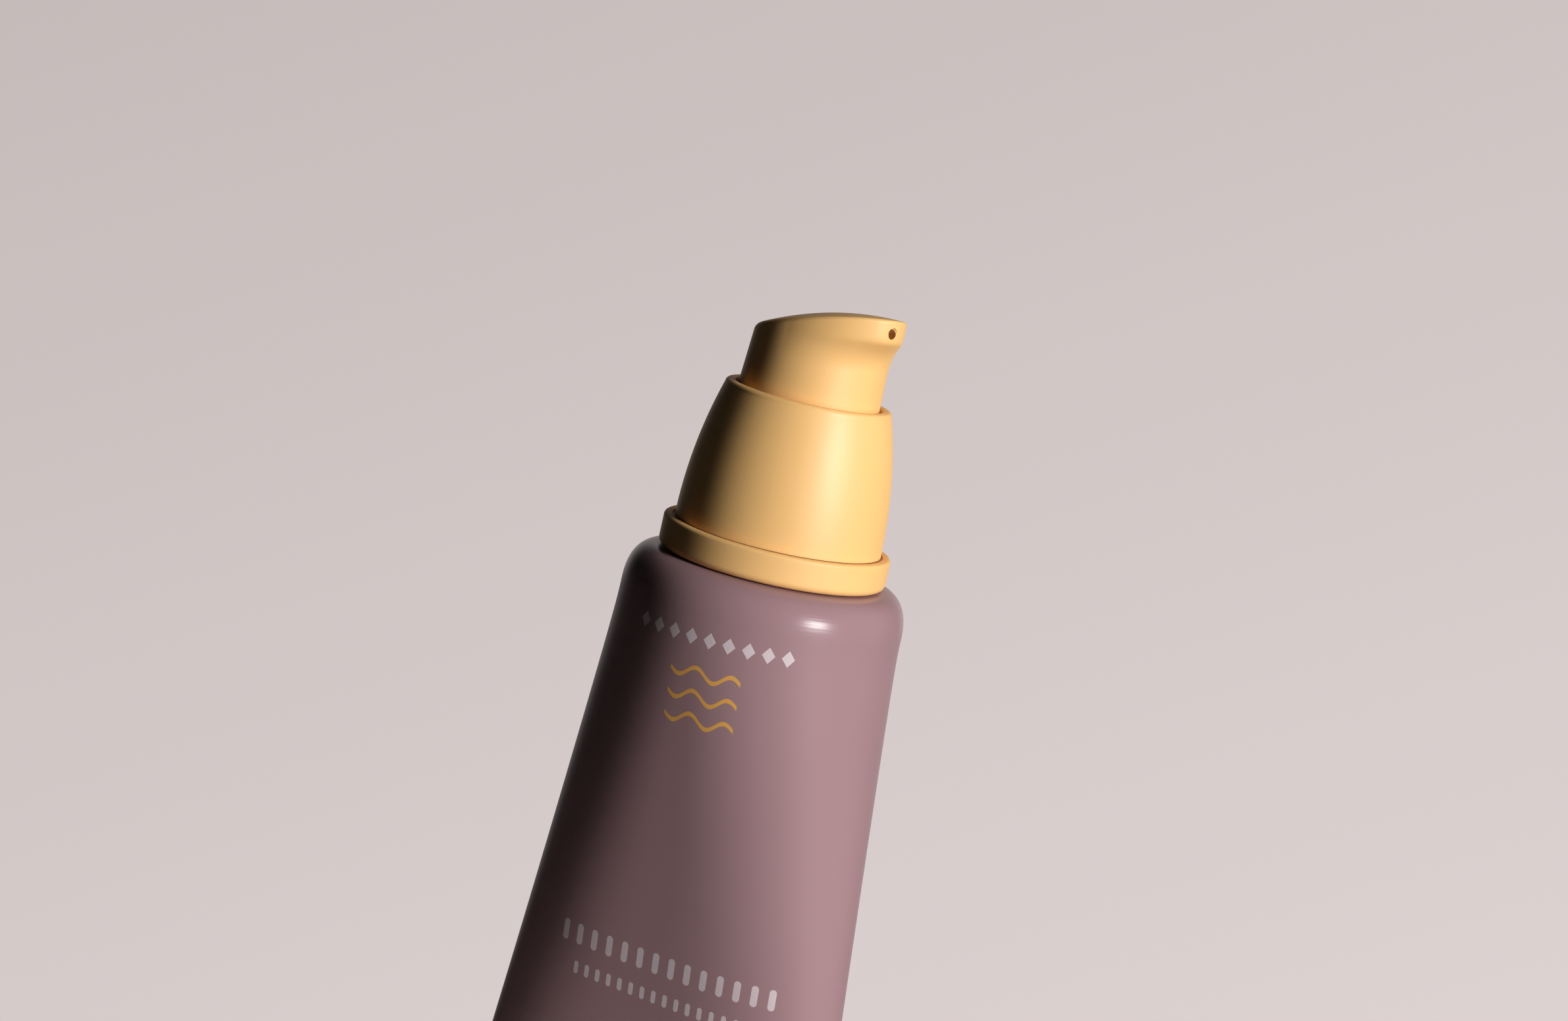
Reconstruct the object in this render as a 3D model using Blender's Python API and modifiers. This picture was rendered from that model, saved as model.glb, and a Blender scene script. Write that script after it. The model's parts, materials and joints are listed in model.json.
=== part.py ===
"""Pump tube for sunscreen: a soft squeeze tube with a small airless type pump.

The tube's axis is Z, with the pump up and the sealed end of the tube at Z = 0. The sealed end is wide
along X, and the printed front faces -Y. Heights of the shoulder and of every pump piece are counted from
the lower face of the base ring, and the empty named pump_axis carries them to their place on the tube.
"""
import math

import bmesh
import bpy
import numpy as np
from mathutils import Matrix, Vector

MM = 0.001
TAU = 2.0 * math.pi

# Tube: a round sleeve that is pressed flat at its far end
TUBE_RADIUS = 20.0 * MM
WALL = 0.5 * MM
CRIMP_HEIGHT = 6.0 * MM
FLATTENED_LENGTH = 110.0 * MM
FLATTEN_START = 2.0 * MM
SECTION_POWER = 0.4
CRIMP_HALF_WIDTH = 0.5 * math.pi * TUBE_RADIUS
SHOULDER_HEIGHT = 6.0 * MM
SHOULDER_WIDTH = 4.2 * MM
SHOULDER_POWER = 2.4
SHOULDER_TOP = -0.2 * MM
SLEEVE_MOUTH_RADIUS = 13.9 * MM
RING_BASE_Z = CRIMP_HEIGHT + FLATTENED_LENGTH + SHOULDER_HEIGHT - SHOULDER_TOP

# General gaps between pieces that touch on the real object
GAP = 0.3 * MM

# Neck and its thread
NECK_RADIUS = 10.3 * MM
NECK_BORE = 8.6 * MM
NECK_TOP = 7.6 * MM
THREAD_PITCH = 3.0 * MM
THREAD_DEPTH = 1.0 * MM
THREAD_ROOT_WIDTH = 1.4 * MM
THREAD_CREST_WIDTH = 0.7 * MM
THREAD_TURNS = 1.25
NECK_THREAD_START = 1.6 * MM

# Pump's outer pieces
CLOSURE_RADIUS = 12.9 * MM
CLOSURE_BORE = 11.6 * MM
CLOSURE_TOP = 11.3 * MM
CLOSURE_HOLE = 7.6 * MM
RING_RADIUS = 16.15 * MM
RING_HEIGHT = 4.6 * MM
RING_FOOT = 0.1 * MM
RING_LOW_EDGE = 1.0 * MM
RING_TOP_EDGE = 0.5 * MM
RING_RECESS = 0.3 * MM
COLLAR_FOOT_RADIUS = 14.66 * MM
COLLAR_CURVE = 68.0 * MM
COLLAR_TOP = 24.7 * MM
COLLAR_MOUTH = 10.4 * MM
COLLAR_EDGE = 0.6 * MM
COLLAR_WALL = 1.4 * MM
COLLAR_WAIST = 15.0 * MM
COLLAR_NECK_FOOT = 19.0 * MM
COLLAR_NECK = 21.5 * MM

# Push head and spout, in the head's own frame: X points along the spout
HEAD_SWING = math.radians(-20.0)
HEAD_SKIRT_FOOT = 17.0 * MM
HEAD_SKIRT_RADIUS = 9.95 * MM
HEAD_LEAN = 0.085
HEAD_LEAN_START = 25.0 * MM
SPOUT_TIP = 13.0 * MM
SPOUT_NOSE_RADIUS = 5.2 * MM
SPOUT_UNDERSIDE = 34.8 * MM
SPOUT_UNDERSIDE_SLOPE = 0.14
SPOUT_FILLET = 4.5 * MM
SPOUT_FILLET_POWER = 2.0
HEAD_CREST = 38.1 * MM
CROWN_LONG_RADIUS = 41.3 * MM
CROWN_CROSS_RADIUS = 28.8 * MM
HEAD_EDGE = 0.45 * MM
HEAD_BACK_EDGE = 0.8 * MM
LEAST_WALL_BAND = 0.4 * MM
ORIFICE_RADIUS = 0.7 * MM
ORIFICE_HEIGHT = 36.6 * MM
DUCT_FOOT_HEIGHT = 33.4 * MM
HEAD_CEILING = 31.0 * MM
HEAD_BOSS_FOOT = 22.5 * MM

# Pump engine
FLANGE_FOOT = 8.8 * MM
FLANGE_TOP = 9.8 * MM
BARREL_BORE = 4.5 * MM
BARREL_RADIUS = 5.7 * MM
GUIDE_BORE = 5.9 * MM
GUIDE_FOOT = 5.5 * MM
SPRING_STEP = -12.7 * MM
STEM_RADIUS = 2.5 * MM
STEM_BORE = 1.3 * MM
STEM_TOP = 30.7 * MM
STEM_FOOT = -1.6 * MM
SEAT_TOP = STEM_FOOT - GAP
SEAT_FOOT = SEAT_TOP - 0.9 * MM
SPRING_RADIUS = 2.75 * MM
SPRING_WIRE = 0.3 * MM
SPRING_TURNS = 6.5
BALL_RADIUS = 1.6 * MM
BALL_HEIGHT = -15.2 * MM

VISIBLE_STEPS = 48
HIDDEN_STEPS = 24
MERGE_DISTANCE = 0.01 * MM

SLEEVE_MAUVE = (0.344, 0.206, 0.219)
PUMP_YELLOW = (0.900, 0.550, 0.200)
NATURAL_WHITE = (0.800, 0.790, 0.760)
SEAL_GREY = (0.550, 0.550, 0.540)
SPRING_STEEL = (0.560, 0.560, 0.570)


for old in list(bpy.data.objects):
    bpy.data.objects.remove(old, do_unlink=True)

parts = bpy.data.collections.new("pump_tube")
cutters = bpy.data.collections.new("cutters")
bpy.context.scene.collection.children.link(parts)
bpy.context.scene.collection.children.link(cutters)

pump_axis = bpy.data.objects.new("pump_axis", None)
pump_axis.location = (0.0, 0.0, RING_BASE_Z)
parts.objects.link(pump_axis)

head_axis = bpy.data.objects.new("head_axis", None)
head_axis.parent = pump_axis
head_axis.rotation_euler = (0.0, 0.0, HEAD_SWING)
parts.objects.link(head_axis)


def material(name, colour, roughness, metallic=0.0):
    """A plain Principled material."""
    made = bpy.data.materials.new(name)
    made.use_nodes = True
    shader = made.node_tree.nodes["Principled BSDF"]
    shader.inputs["Base Color"].default_value = (*colour, 1.0)
    shader.inputs["Roughness"].default_value = roughness
    shader.inputs["Metallic"].default_value = metallic
    return made


def add_object(name, mesh, colour, roughness, metallic=0.0, parent=None):
    """Puts a mesh in the parts' collection under its own name and material."""
    part = bpy.data.objects.new(name, mesh)
    parts.objects.link(part)
    part.parent = parent
    mesh.materials.append(material(name + "_finish", colour, roughness, metallic))
    return part


def add_cutter(name, mesh, parent=None):
    """Puts a mesh that only cuts or joins others in the cutters' collection."""
    cutter = bpy.data.objects.new(name, mesh)
    cutters.objects.link(cutter)
    cutter.parent = parent
    cutter.hide_render = True
    cutter.display_type = "WIRE"
    return cutter


def smooth(mesh, angle=35.0):
    mesh.shade_smooth()
    mesh.set_sharp_from_angle(angle=math.radians(angle))


def combine(part, other, operation):
    """Adds a Boolean of another object to a part."""
    step = part.modifiers.new(operation.lower() + "_" + other.name, "BOOLEAN")
    step.operation = operation
    step.solver = "EXACT"
    step.object = other


def profile_mesh(name, points, closed):
    """A profile of (radius, height) points as edges in the XZ plane."""
    mesh = bpy.data.meshes.new(name)
    count = len(points)
    edges = [(i, i + 1) for i in range(count - 1)]
    if closed:
        edges.append((count - 1, 0))
    mesh.from_pydata([(r, 0.0, z) for r, z in points], edges, [])
    return mesh


def turned(name, points, colour, roughness, steps=HIDDEN_STEPS, closed=True, metallic=0.0):
    """A turned piece of the pump: its profile runs down the outer side and up the inner one."""
    part = add_object(name, profile_mesh(name, points, closed), colour, roughness, metallic, pump_axis)
    screw = part.modifiers.new("turn", "SCREW")
    screw.axis = "Z"
    screw.angle = TAU
    screw.steps = steps
    screw.render_steps = steps
    screw.use_merge_vertices = True
    screw.merge_threshold = MERGE_DISTANCE
    screw.use_smooth_shade = True
    return part


def arc(centre_r, centre_z, radius, start, end, count):
    """Points of a round corner in a profile, from one angle in degrees to another."""
    angles = np.radians(np.linspace(start, end, count))
    return [(centre_r + radius * math.cos(a), centre_z + radius * math.sin(a)) for a in angles]


def loft(name, rings, cap_start=True, cap_end=True):
    """Joins closed rings of equally many points, given as an array (rings, points, 3)."""
    rings = np.asarray(rings)
    ring_count, side_count, _ = rings.shape
    vertices = rings.reshape(-1, 3).tolist()
    faces = []
    for ring in range(ring_count - 1):
        for side in range(side_count):
            a = ring * side_count + side
            b = ring * side_count + (side + 1) % side_count
            faces.append((a, b, b + side_count, a + side_count))
    if cap_start:
        faces.append(tuple(reversed(range(side_count))))
    if cap_end:
        faces.append(tuple(range((ring_count - 1) * side_count, ring_count * side_count)))
    mesh = bpy.data.meshes.new(name)
    mesh.from_pydata(vertices, [], faces)
    return mesh


def shoulder_curve(inset, count):
    """The shoulder's rounding as a quarter of a superellipse, inset from the sleeve's outer face."""
    t = np.linspace(0.0, 0.5 * math.pi, count)
    power = 2.0 / SHOULDER_POWER
    radius = TUBE_RADIUS - SHOULDER_WIDTH + (SHOULDER_WIDTH - inset) * np.cos(t) ** power
    height = SHOULDER_TOP - SHOULDER_HEIGHT + (SHOULDER_HEIGHT - inset) * np.sin(t) ** power
    radius[-1] = TUBE_RADIUS - SHOULDER_WIDTH
    return radius, height


# Tube sleeve: a loft from the sealed end to the mouth, and back down the inside

def sleeve_section(distance, inset):
    """The sleeve's section at a distance below the shoulder: a circle drawn out to a flat-sided oval.

    Its depth falls in a straight line to the sealed end. Its width grows alike, but starts softly, and the
    girth stays about the same.
    """
    thin = distance / FLATTENED_LENGTH
    wide = math.hypot(distance, FLATTEN_START) - FLATTEN_START
    wide /= math.hypot(FLATTENED_LENGTH, FLATTEN_START) - FLATTEN_START
    angle = np.arange(VISIBLE_STEPS) * TAU / VISIBLE_STEPS
    across = np.round(np.cos(angle), 12)
    up = np.round(np.sin(angle), 12)
    side = np.sign(across) * np.abs(across) ** SECTION_POWER
    x = (1.0 - wide) * (TUBE_RADIUS - inset) * across + wide * (CRIMP_HALF_WIDTH - inset) * side
    y = (1.0 - thin) * (TUBE_RADIUS - inset) * up + thin * (WALL - inset) * np.sign(up)
    return np.stack([x, y, np.full(VISIBLE_STEPS, CRIMP_HEIGHT + FLATTENED_LENGTH - distance)], 1)


def round_section(radius, height):
    angle = np.arange(VISIBLE_STEPS) * TAU / VISIBLE_STEPS
    return np.stack([radius * np.cos(angle), radius * np.sin(angle), np.full(VISIBLE_STEPS, height)], 1)


def make_tube_sleeve():
    """The soft sleeve: up the outside from the sealed end to the mouth, and back down the inside."""
    crimp_gap = 1.5 * MM
    nearing = [share * FLATTENED_LENGTH for share in (0.65, 0.35, 0.16, 0.08, 0.04, 0.02, 0.0)]
    distances = [FLATTENED_LENGTH - crimp_gap, *nearing]
    sealed = sleeve_section(FLATTENED_LENGTH, 0.0)
    rings = [sealed - np.array([0.0, 0.0, CRIMP_HEIGHT]), sealed]
    rings += [sleeve_section(distance, 0.0) for distance in distances]
    radius, height = shoulder_curve(0.0, 8)
    rings += [round_section(r, RING_BASE_Z + z) for r, z in zip(radius[1:], height[1:])]
    rings.append(round_section(SLEEVE_MOUTH_RADIUS, RING_BASE_Z + SHOULDER_TOP))
    rings.append(round_section(SLEEVE_MOUTH_RADIUS, RING_BASE_Z + SHOULDER_TOP - WALL))
    radius, height = shoulder_curve(WALL, 5)
    rings += [round_section(r, RING_BASE_Z + z) for r, z in zip(radius[:0:-1], height[:0:-1])]
    rings += [sleeve_section(distance, WALL) for distance in reversed(distances)]
    mesh = loft("tube_sleeve", rings)
    smooth(mesh)
    return add_object("tube_sleeve", mesh, SLEEVE_MAUVE, 0.42)


# Threads: one ridge along a helix, with its root sunk into the wall that carries it

def thread_mesh(name, root_radius, crest_radius, first_angle, first_height, turns):
    count = int(HIDDEN_STEPS * turns) + 1
    end_depth = 0.25
    run_out = 8.0
    rings = []
    for step in range(count):
        along = step / (count - 1)
        angle = first_angle + along * turns * TAU
        height = first_height + along * turns * THREAD_PITCH
        fade = min(1.0, end_depth + run_out * along, end_depth + run_out * (1.0 - along))
        crest = root_radius + (crest_radius - root_radius) * fade
        corners = [(root_radius, -0.5 * THREAD_ROOT_WIDTH), (crest, -0.5 * THREAD_CREST_WIDTH),
                   (crest, 0.5 * THREAD_CREST_WIDTH), (root_radius, 0.5 * THREAD_ROOT_WIDTH)]
        rings.append([(r * math.cos(angle), r * math.sin(angle), height + z) for r, z in corners])
    mesh = loft(name, rings)
    fix = bmesh.new()
    fix.from_mesh(mesh)
    bmesh.ops.recalc_face_normals(fix, faces=fix.faces)
    fix.to_mesh(mesh)
    fix.free()
    return mesh


def make_tube_shoulder():
    inset = WALL + GAP
    thickness = 1.2 * MM
    outer_r, outer_z = shoulder_curve(inset, 6)
    inner_r, inner_z = shoulder_curve(inset + thickness, 5)
    skirt = 1.0 * MM
    edge = 0.4 * MM
    land_radius = SLEEVE_MOUTH_RADIUS - GAP
    skirt_z = outer_z[0] - skirt
    points = [(NECK_RADIUS - edge, NECK_TOP), (NECK_RADIUS, NECK_TOP - edge), (NECK_RADIUS, SHOULDER_TOP)]
    points += [(land_radius, SHOULDER_TOP), (land_radius, SHOULDER_TOP - inset)]
    points += list(zip(outer_r[::-1], outer_z[::-1]))
    points += [(outer_r[0], skirt_z), (inner_r[0], skirt_z)]
    points += list(zip(inner_r, inner_z))
    points += [(NECK_BORE, inner_z[-1]), (NECK_BORE, NECK_TOP)]
    shoulder = turned("tube_shoulder", points, SLEEVE_MAUVE, 0.5)
    ridge = thread_mesh("neck_thread", NECK_RADIUS - GAP, NECK_RADIUS + THREAD_DEPTH, 0.0,
                        NECK_THREAD_START, THREAD_TURNS)
    combine(shoulder, add_cutter("neck_thread", ridge, pump_axis), "UNION")


def make_neck_gasket():
    foot = NECK_TOP + GAP
    top = FLANGE_FOOT - GAP
    outer = NECK_RADIUS
    inner = 7.4 * MM
    turned("neck_gasket", [(outer, top), (outer, foot), (inner, foot), (inner, top)], SEAL_GREY, 0.7)


def make_screw_closure():
    foot = 0.4 * MM
    plate_foot = FLANGE_TOP + GAP
    bevel = 0.4 * MM
    start_turn = 0.45
    points = [(CLOSURE_RADIUS - bevel, CLOSURE_TOP), (CLOSURE_RADIUS, CLOSURE_TOP - bevel)]
    points += [(CLOSURE_RADIUS, foot)]
    points += [(CLOSURE_BORE, foot), (CLOSURE_BORE, plate_foot)]
    points += [(CLOSURE_HOLE, plate_foot), (CLOSURE_HOLE, CLOSURE_TOP)]
    closure = turned("screw_closure", points, NATURAL_WHITE, 0.5)
    first_height = NECK_THREAD_START + (start_turn - 0.5) * THREAD_PITCH
    ridge = thread_mesh("closure_thread", CLOSURE_BORE + GAP, CLOSURE_BORE - THREAD_DEPTH, start_turn * TAU,
                        first_height, 1.0)
    combine(closure, add_cutter("closure_thread", ridge, pump_axis), "UNION")


def make_base_ring():
    """The pump's foot: its flat ledge carries the overcap, and a shallow recess takes the collar's foot."""
    bore = CLOSURE_RADIUS + GAP
    recess_radius = COLLAR_FOOT_RADIUS + GAP
    recess_floor = RING_HEIGHT - RING_RECESS
    points = arc(RING_RADIUS - RING_TOP_EDGE, RING_HEIGHT - RING_TOP_EDGE, RING_TOP_EDGE, 90.0, 0.0, 4)
    points += arc(RING_RADIUS - RING_LOW_EDGE, RING_FOOT + RING_LOW_EDGE, RING_LOW_EDGE, 0.0, -90.0, 5)
    points += [(bore, RING_FOOT), (bore, recess_floor), (recess_radius, recess_floor)]
    points += [(recess_radius, RING_HEIGHT)]
    turned("base_ring", points, PUMP_YELLOW, 0.5, VISIBLE_STEPS)


def collar_radius(height):
    """The barrel shape: a circle arc that stands upright at the collar's foot."""
    rise = height - RING_HEIGHT
    return COLLAR_FOOT_RADIUS - COLLAR_CURVE + math.sqrt(COLLAR_CURVE ** 2 - rise ** 2)


def make_collar_sleeve():
    foot = RING_HEIGHT - RING_RECESS + GAP
    inner_bore = CLOSURE_RADIUS + GAP
    inner_edge = 0.3 * MM
    rim_foot = COLLAR_TOP - COLLAR_EDGE
    heights = np.linspace(rim_foot, foot, 8)
    points = arc(collar_radius(rim_foot) - COLLAR_EDGE, rim_foot, COLLAR_EDGE, 90.0, 15.0, 4)
    points += [(collar_radius(z), z) for z in heights]
    points += [(inner_bore, foot), (inner_bore, CLOSURE_TOP + GAP)]
    points += [(collar_radius(z) - COLLAR_WALL, z) for z in (COLLAR_WAIST, COLLAR_NECK_FOOT)]
    points += [(COLLAR_MOUTH, COLLAR_NECK)]
    points += arc(COLLAR_MOUTH + inner_edge, COLLAR_TOP - inner_edge, inner_edge, 180.0, 90.0, 3)
    turned("collar_sleeve", points, PUMP_YELLOW, 0.4, VISIBLE_STEPS)


# Pump engine, from the top of the cylinder down to the inlet

def make_pump_housing():
    """The cylinder: a wide mouth for its cap, the piston's barrel, a ball chamber and the inlet."""
    upper_radius = 7.0 * MM
    upper_foot = GUIDE_FOOT - 1.0 * MM
    barrel_top = upper_foot - 0.8 * MM
    barrel_foot = SPRING_STEP - 1.0 * MM
    chamber_radius = 3.3 * MM
    chamber_top = barrel_foot - 1.2 * MM
    chamber = 2.0 * MM
    lip = 1.45 * MM
    lip_foot = SPRING_STEP - 0.5 * MM
    chamber_ceiling = lip_foot - 0.3 * MM
    inlet_bore = 1.0 * MM
    inlet_radius = 2.2 * MM
    inlet_foot = -21.0 * MM
    cone_foot = -16.8 * MM
    chamber_foot = cone_foot - 0.6 * MM
    inlet_top = cone_foot - 1.2 * MM
    points = [(NECK_RADIUS, FLANGE_TOP), (NECK_RADIUS, FLANGE_FOOT), (upper_radius, FLANGE_FOOT)]
    points += [(upper_radius, upper_foot), (BARREL_RADIUS, barrel_top), (BARREL_RADIUS, barrel_foot)]
    points += [(chamber_radius, chamber_top), (chamber_radius, chamber_foot)]
    points += [(inlet_radius, inlet_top), (inlet_radius, inlet_foot), (inlet_bore, inlet_foot)]
    points += [(inlet_bore, cone_foot), (chamber, cone_foot + chamber - inlet_bore)]
    points += [(chamber, chamber_ceiling), (lip, lip_foot), (lip, SPRING_STEP)]
    points += [(BARREL_BORE, SPRING_STEP), (BARREL_BORE, GUIDE_FOOT)]
    points += [(GUIDE_BORE, GUIDE_FOOT), (GUIDE_BORE, FLANGE_TOP)]
    turned("pump_housing", points, NATURAL_WHITE, 0.45)


def make_housing_cap():
    flange = 7.3 * MM
    flange_foot = FLANGE_TOP + GAP
    collar = 4.7 * MM
    collar_top = 13.2 * MM
    edge = 0.3 * MM
    skirt = GUIDE_BORE - GAP
    skirt_foot = 6.4 * MM
    skirt_bore = 4.8 * MM
    web_foot = 8.6 * MM
    guide = STEM_RADIUS + GAP
    points = [(collar - edge, collar_top), (collar, collar_top - edge), (collar, CLOSURE_TOP)]
    points += [(flange, CLOSURE_TOP), (flange, flange_foot), (skirt, flange_foot), (skirt, skirt_foot)]
    points += [(skirt_bore, skirt_foot), (skirt_bore, web_foot), (guide, web_foot), (guide, collar_top)]
    turned("housing_cap", points, NATURAL_WHITE, 0.45)


def make_stem_seal():
    foot = 7.1 * MM
    top = 8.3 * MM
    outer = 4.5 * MM
    inner = STEM_RADIUS + 0.2 * MM
    groove = 0.5 * MM
    points = [(outer, top), (outer, foot), (inner + groove, foot), (inner, foot + groove), (inner, top)]
    turned("stem_seal", points, SEAL_GREY, 0.75)


def make_stem():
    port_height = -0.8 * MM
    port_radius = 0.45 * MM
    edge = 0.3 * MM
    points = [(STEM_RADIUS - edge, STEM_TOP), (STEM_RADIUS, STEM_TOP - edge), (STEM_RADIUS, STEM_FOOT)]
    points += [(STEM_BORE, STEM_FOOT), (STEM_BORE, STEM_TOP)]
    stem = turned("stem", points, NATURAL_WHITE, 0.4)
    drill = bmesh.new()
    turn = Matrix.Translation((0.0, 0.0, port_height)) @ Matrix.Rotation(0.5 * math.pi, 4, "X")
    bmesh.ops.create_cone(drill, cap_ends=True, segments=12, radius1=port_radius, radius2=port_radius,
                          depth=4.0 * STEM_RADIUS, matrix=turn)
    mesh = bpy.data.meshes.new("stem_port")
    drill.to_mesh(mesh)
    drill.free()
    combine(stem, add_cutter("stem_port", mesh, pump_axis), "DIFFERENCE")


def make_stem_seat():
    plug = STEM_BORE - GAP
    plug_top = -1.35 * MM
    flange = 3.4 * MM
    guide = 1.9 * MM
    guide_foot = -7.0 * MM
    edge = 0.6 * MM
    points = [(0.0, plug_top), (plug, plug_top), (plug, SEAT_TOP), (flange, SEAT_TOP)]
    points += [(flange, SEAT_FOOT), (guide, SEAT_FOOT), (guide, guide_foot + edge)]
    points += [(guide - edge, guide_foot), (0.0, guide_foot)]
    turned("stem_seat", points, NATURAL_WHITE, 0.45, closed=False)


def make_piston():
    """A sleeve with a wiping lip at each end and a waist between them."""
    foot = STEM_FOOT
    top = 4.6 * MM
    outer = BARREL_BORE - 0.2 * MM
    inner = STEM_RADIUS + GAP
    lip_height = 1.6 * MM
    lip_root = 2.2 * MM
    groove = 0.6 * MM
    hollow = 0.5 * MM
    waist = 3.7 * MM
    points = [(inner + hollow, top), (waist, top - groove), (outer, top), (outer, top - lip_height)]
    points += [(waist, top - lip_root), (waist, foot + lip_root), (outer, foot + lip_height), (outer, foot)]
    points += [(waist, foot + hollow), (inner, foot + hollow), (inner, top)]
    turned("piston", points, NATURAL_WHITE, 0.5)


def make_return_spring():
    """A steel coil between the stem's seat and the step over the ball chamber."""
    low = SPRING_STEP + GAP + SPRING_WIRE
    high = SEAT_FOOT - GAP - SPRING_WIRE
    points_a_turn = 10
    count = int(points_a_turn * SPRING_TURNS) + 1
    angle = np.linspace(0.0, SPRING_TURNS * TAU, count)
    height = np.linspace(low, high, count)
    x = SPRING_RADIUS * np.cos(angle)
    y = SPRING_RADIUS * np.sin(angle)
    pitch = (high - low) / SPRING_TURNS
    print("return spring: least gap between turns %.2f mm" % ((pitch - 2.0 * SPRING_WIRE) / MM))
    curve = bpy.data.curves.new("return_spring", "CURVE")
    curve.dimensions = "3D"
    curve.bevel_depth = SPRING_WIRE
    curve.bevel_resolution = 1
    curve.use_fill_caps = True
    spline = curve.splines.new("POLY")
    spline.points.add(count - 1)
    spline.points.foreach_set("co", np.stack([x, y, height, np.ones(count)], 1).ravel())
    add_object("return_spring", curve, SPRING_STEEL, 0.3, 1.0, pump_axis)


def make_inlet_ball():
    ball = bmesh.new()
    bmesh.ops.create_uvsphere(ball, u_segments=16, v_segments=10, radius=BALL_RADIUS)
    mesh = bpy.data.meshes.new("inlet_ball")
    ball.to_mesh(mesh)
    ball.free()
    mesh.shade_smooth()
    part = add_object("inlet_ball", mesh, SPRING_STEEL, 0.15, 1.0, pump_axis)
    part.location = (0.0, 0.0, BALL_HEIGHT)


def make_intake_cage():
    """A slotted stub pushed over the inlet."""
    inner = 2.5 * MM
    outer = 3.6 * MM
    top = -18.4 * MM
    foot = -32.0 * MM
    end_wall = 1.0 * MM
    edge = 0.8 * MM
    slot_width = 1.4 * MM
    slot_length = 7.0 * MM
    slot_middle = -26.5 * MM
    points = [(outer, top), (outer, foot + edge), (outer - edge, foot), (0.0, foot)]
    points += [(0.0, foot + end_wall), (inner, foot + end_wall), (inner, top)]
    cage = turned("intake_cage", points, NATURAL_WHITE, 0.5)
    slot = bmesh.new()
    size = Matrix.Diagonal((slot_width, 3.0 * outer, slot_length, 1.0))
    place = Matrix.Translation((0.0, 0.0, slot_middle))
    for quarter in range(2):
        turn = Matrix.Rotation(quarter * 0.5 * math.pi, 4, "Z")
        bmesh.ops.create_cube(slot, size=1.0, matrix=place @ turn @ size)
    mesh = bpy.data.meshes.new("cage_slots")
    slot.to_mesh(mesh)
    slot.free()
    combine(cage, add_cutter("cage_slots", mesh, pump_axis), "DIFFERENCE")


# Push head: a loft up the wall, round the spout and over the crown

def head_wall_radius(angle, height):
    """The wall leans in above the collar: fully at the back, and not at all under the spout."""
    lean = HEAD_LEAN * (0.5 - 0.5 * np.cos(angle))
    return HEAD_SKIRT_RADIUS - lean * np.maximum(0.0, height - HEAD_LEAN_START)


def spout_outline(angle, wall):
    """Radius of the head seen from above: the wall, a long arc on each flank, and the nose's small arc.

    A flank's arc leaves the wall a quarter turn from the spout and meets the nose's arc without a corner.
    """
    body_radius = float(head_wall_radius(0.5 * math.pi, SPOUT_UNDERSIDE))
    nose_centre = SPOUT_TIP - SPOUT_NOSE_RADIUS
    angle = np.abs((angle + math.pi) % TAU - math.pi)
    flank = body_radius ** 2 + nose_centre ** 2 - SPOUT_NOSE_RADIUS ** 2
    flank /= 2.0 * (body_radius - SPOUT_NOSE_RADIUS)
    beyond = flank - body_radius
    lean = math.atan2(beyond, nose_centre)
    join = math.atan2(flank * math.sin(lean) - beyond, flank * math.cos(lean))
    side = nose_centre * np.sin(np.minimum(angle, join))
    nose = nose_centre * np.cos(np.minimum(angle, join)) + np.sqrt(SPOUT_NOSE_RADIUS ** 2 - side ** 2)
    arc_radius = np.sqrt(flank ** 2 - (beyond * np.cos(angle)) ** 2) - beyond * np.sin(angle)
    arc_radius = np.maximum(arc_radius, wall)
    return np.where(angle < join, nose, np.where(angle < 0.5 * math.pi, arc_radius, wall))


def crown_height(u, v):
    """The head's top face: a dome, highest at the spout's tip, that falls to the back and to the sides."""
    along = (SPOUT_TIP - u) ** 2 / (2.0 * CROWN_LONG_RADIUS)
    across = v ** 2 / (2.0 * CROWN_CROSS_RADIUS)
    return HEAD_CREST - along - across


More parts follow.
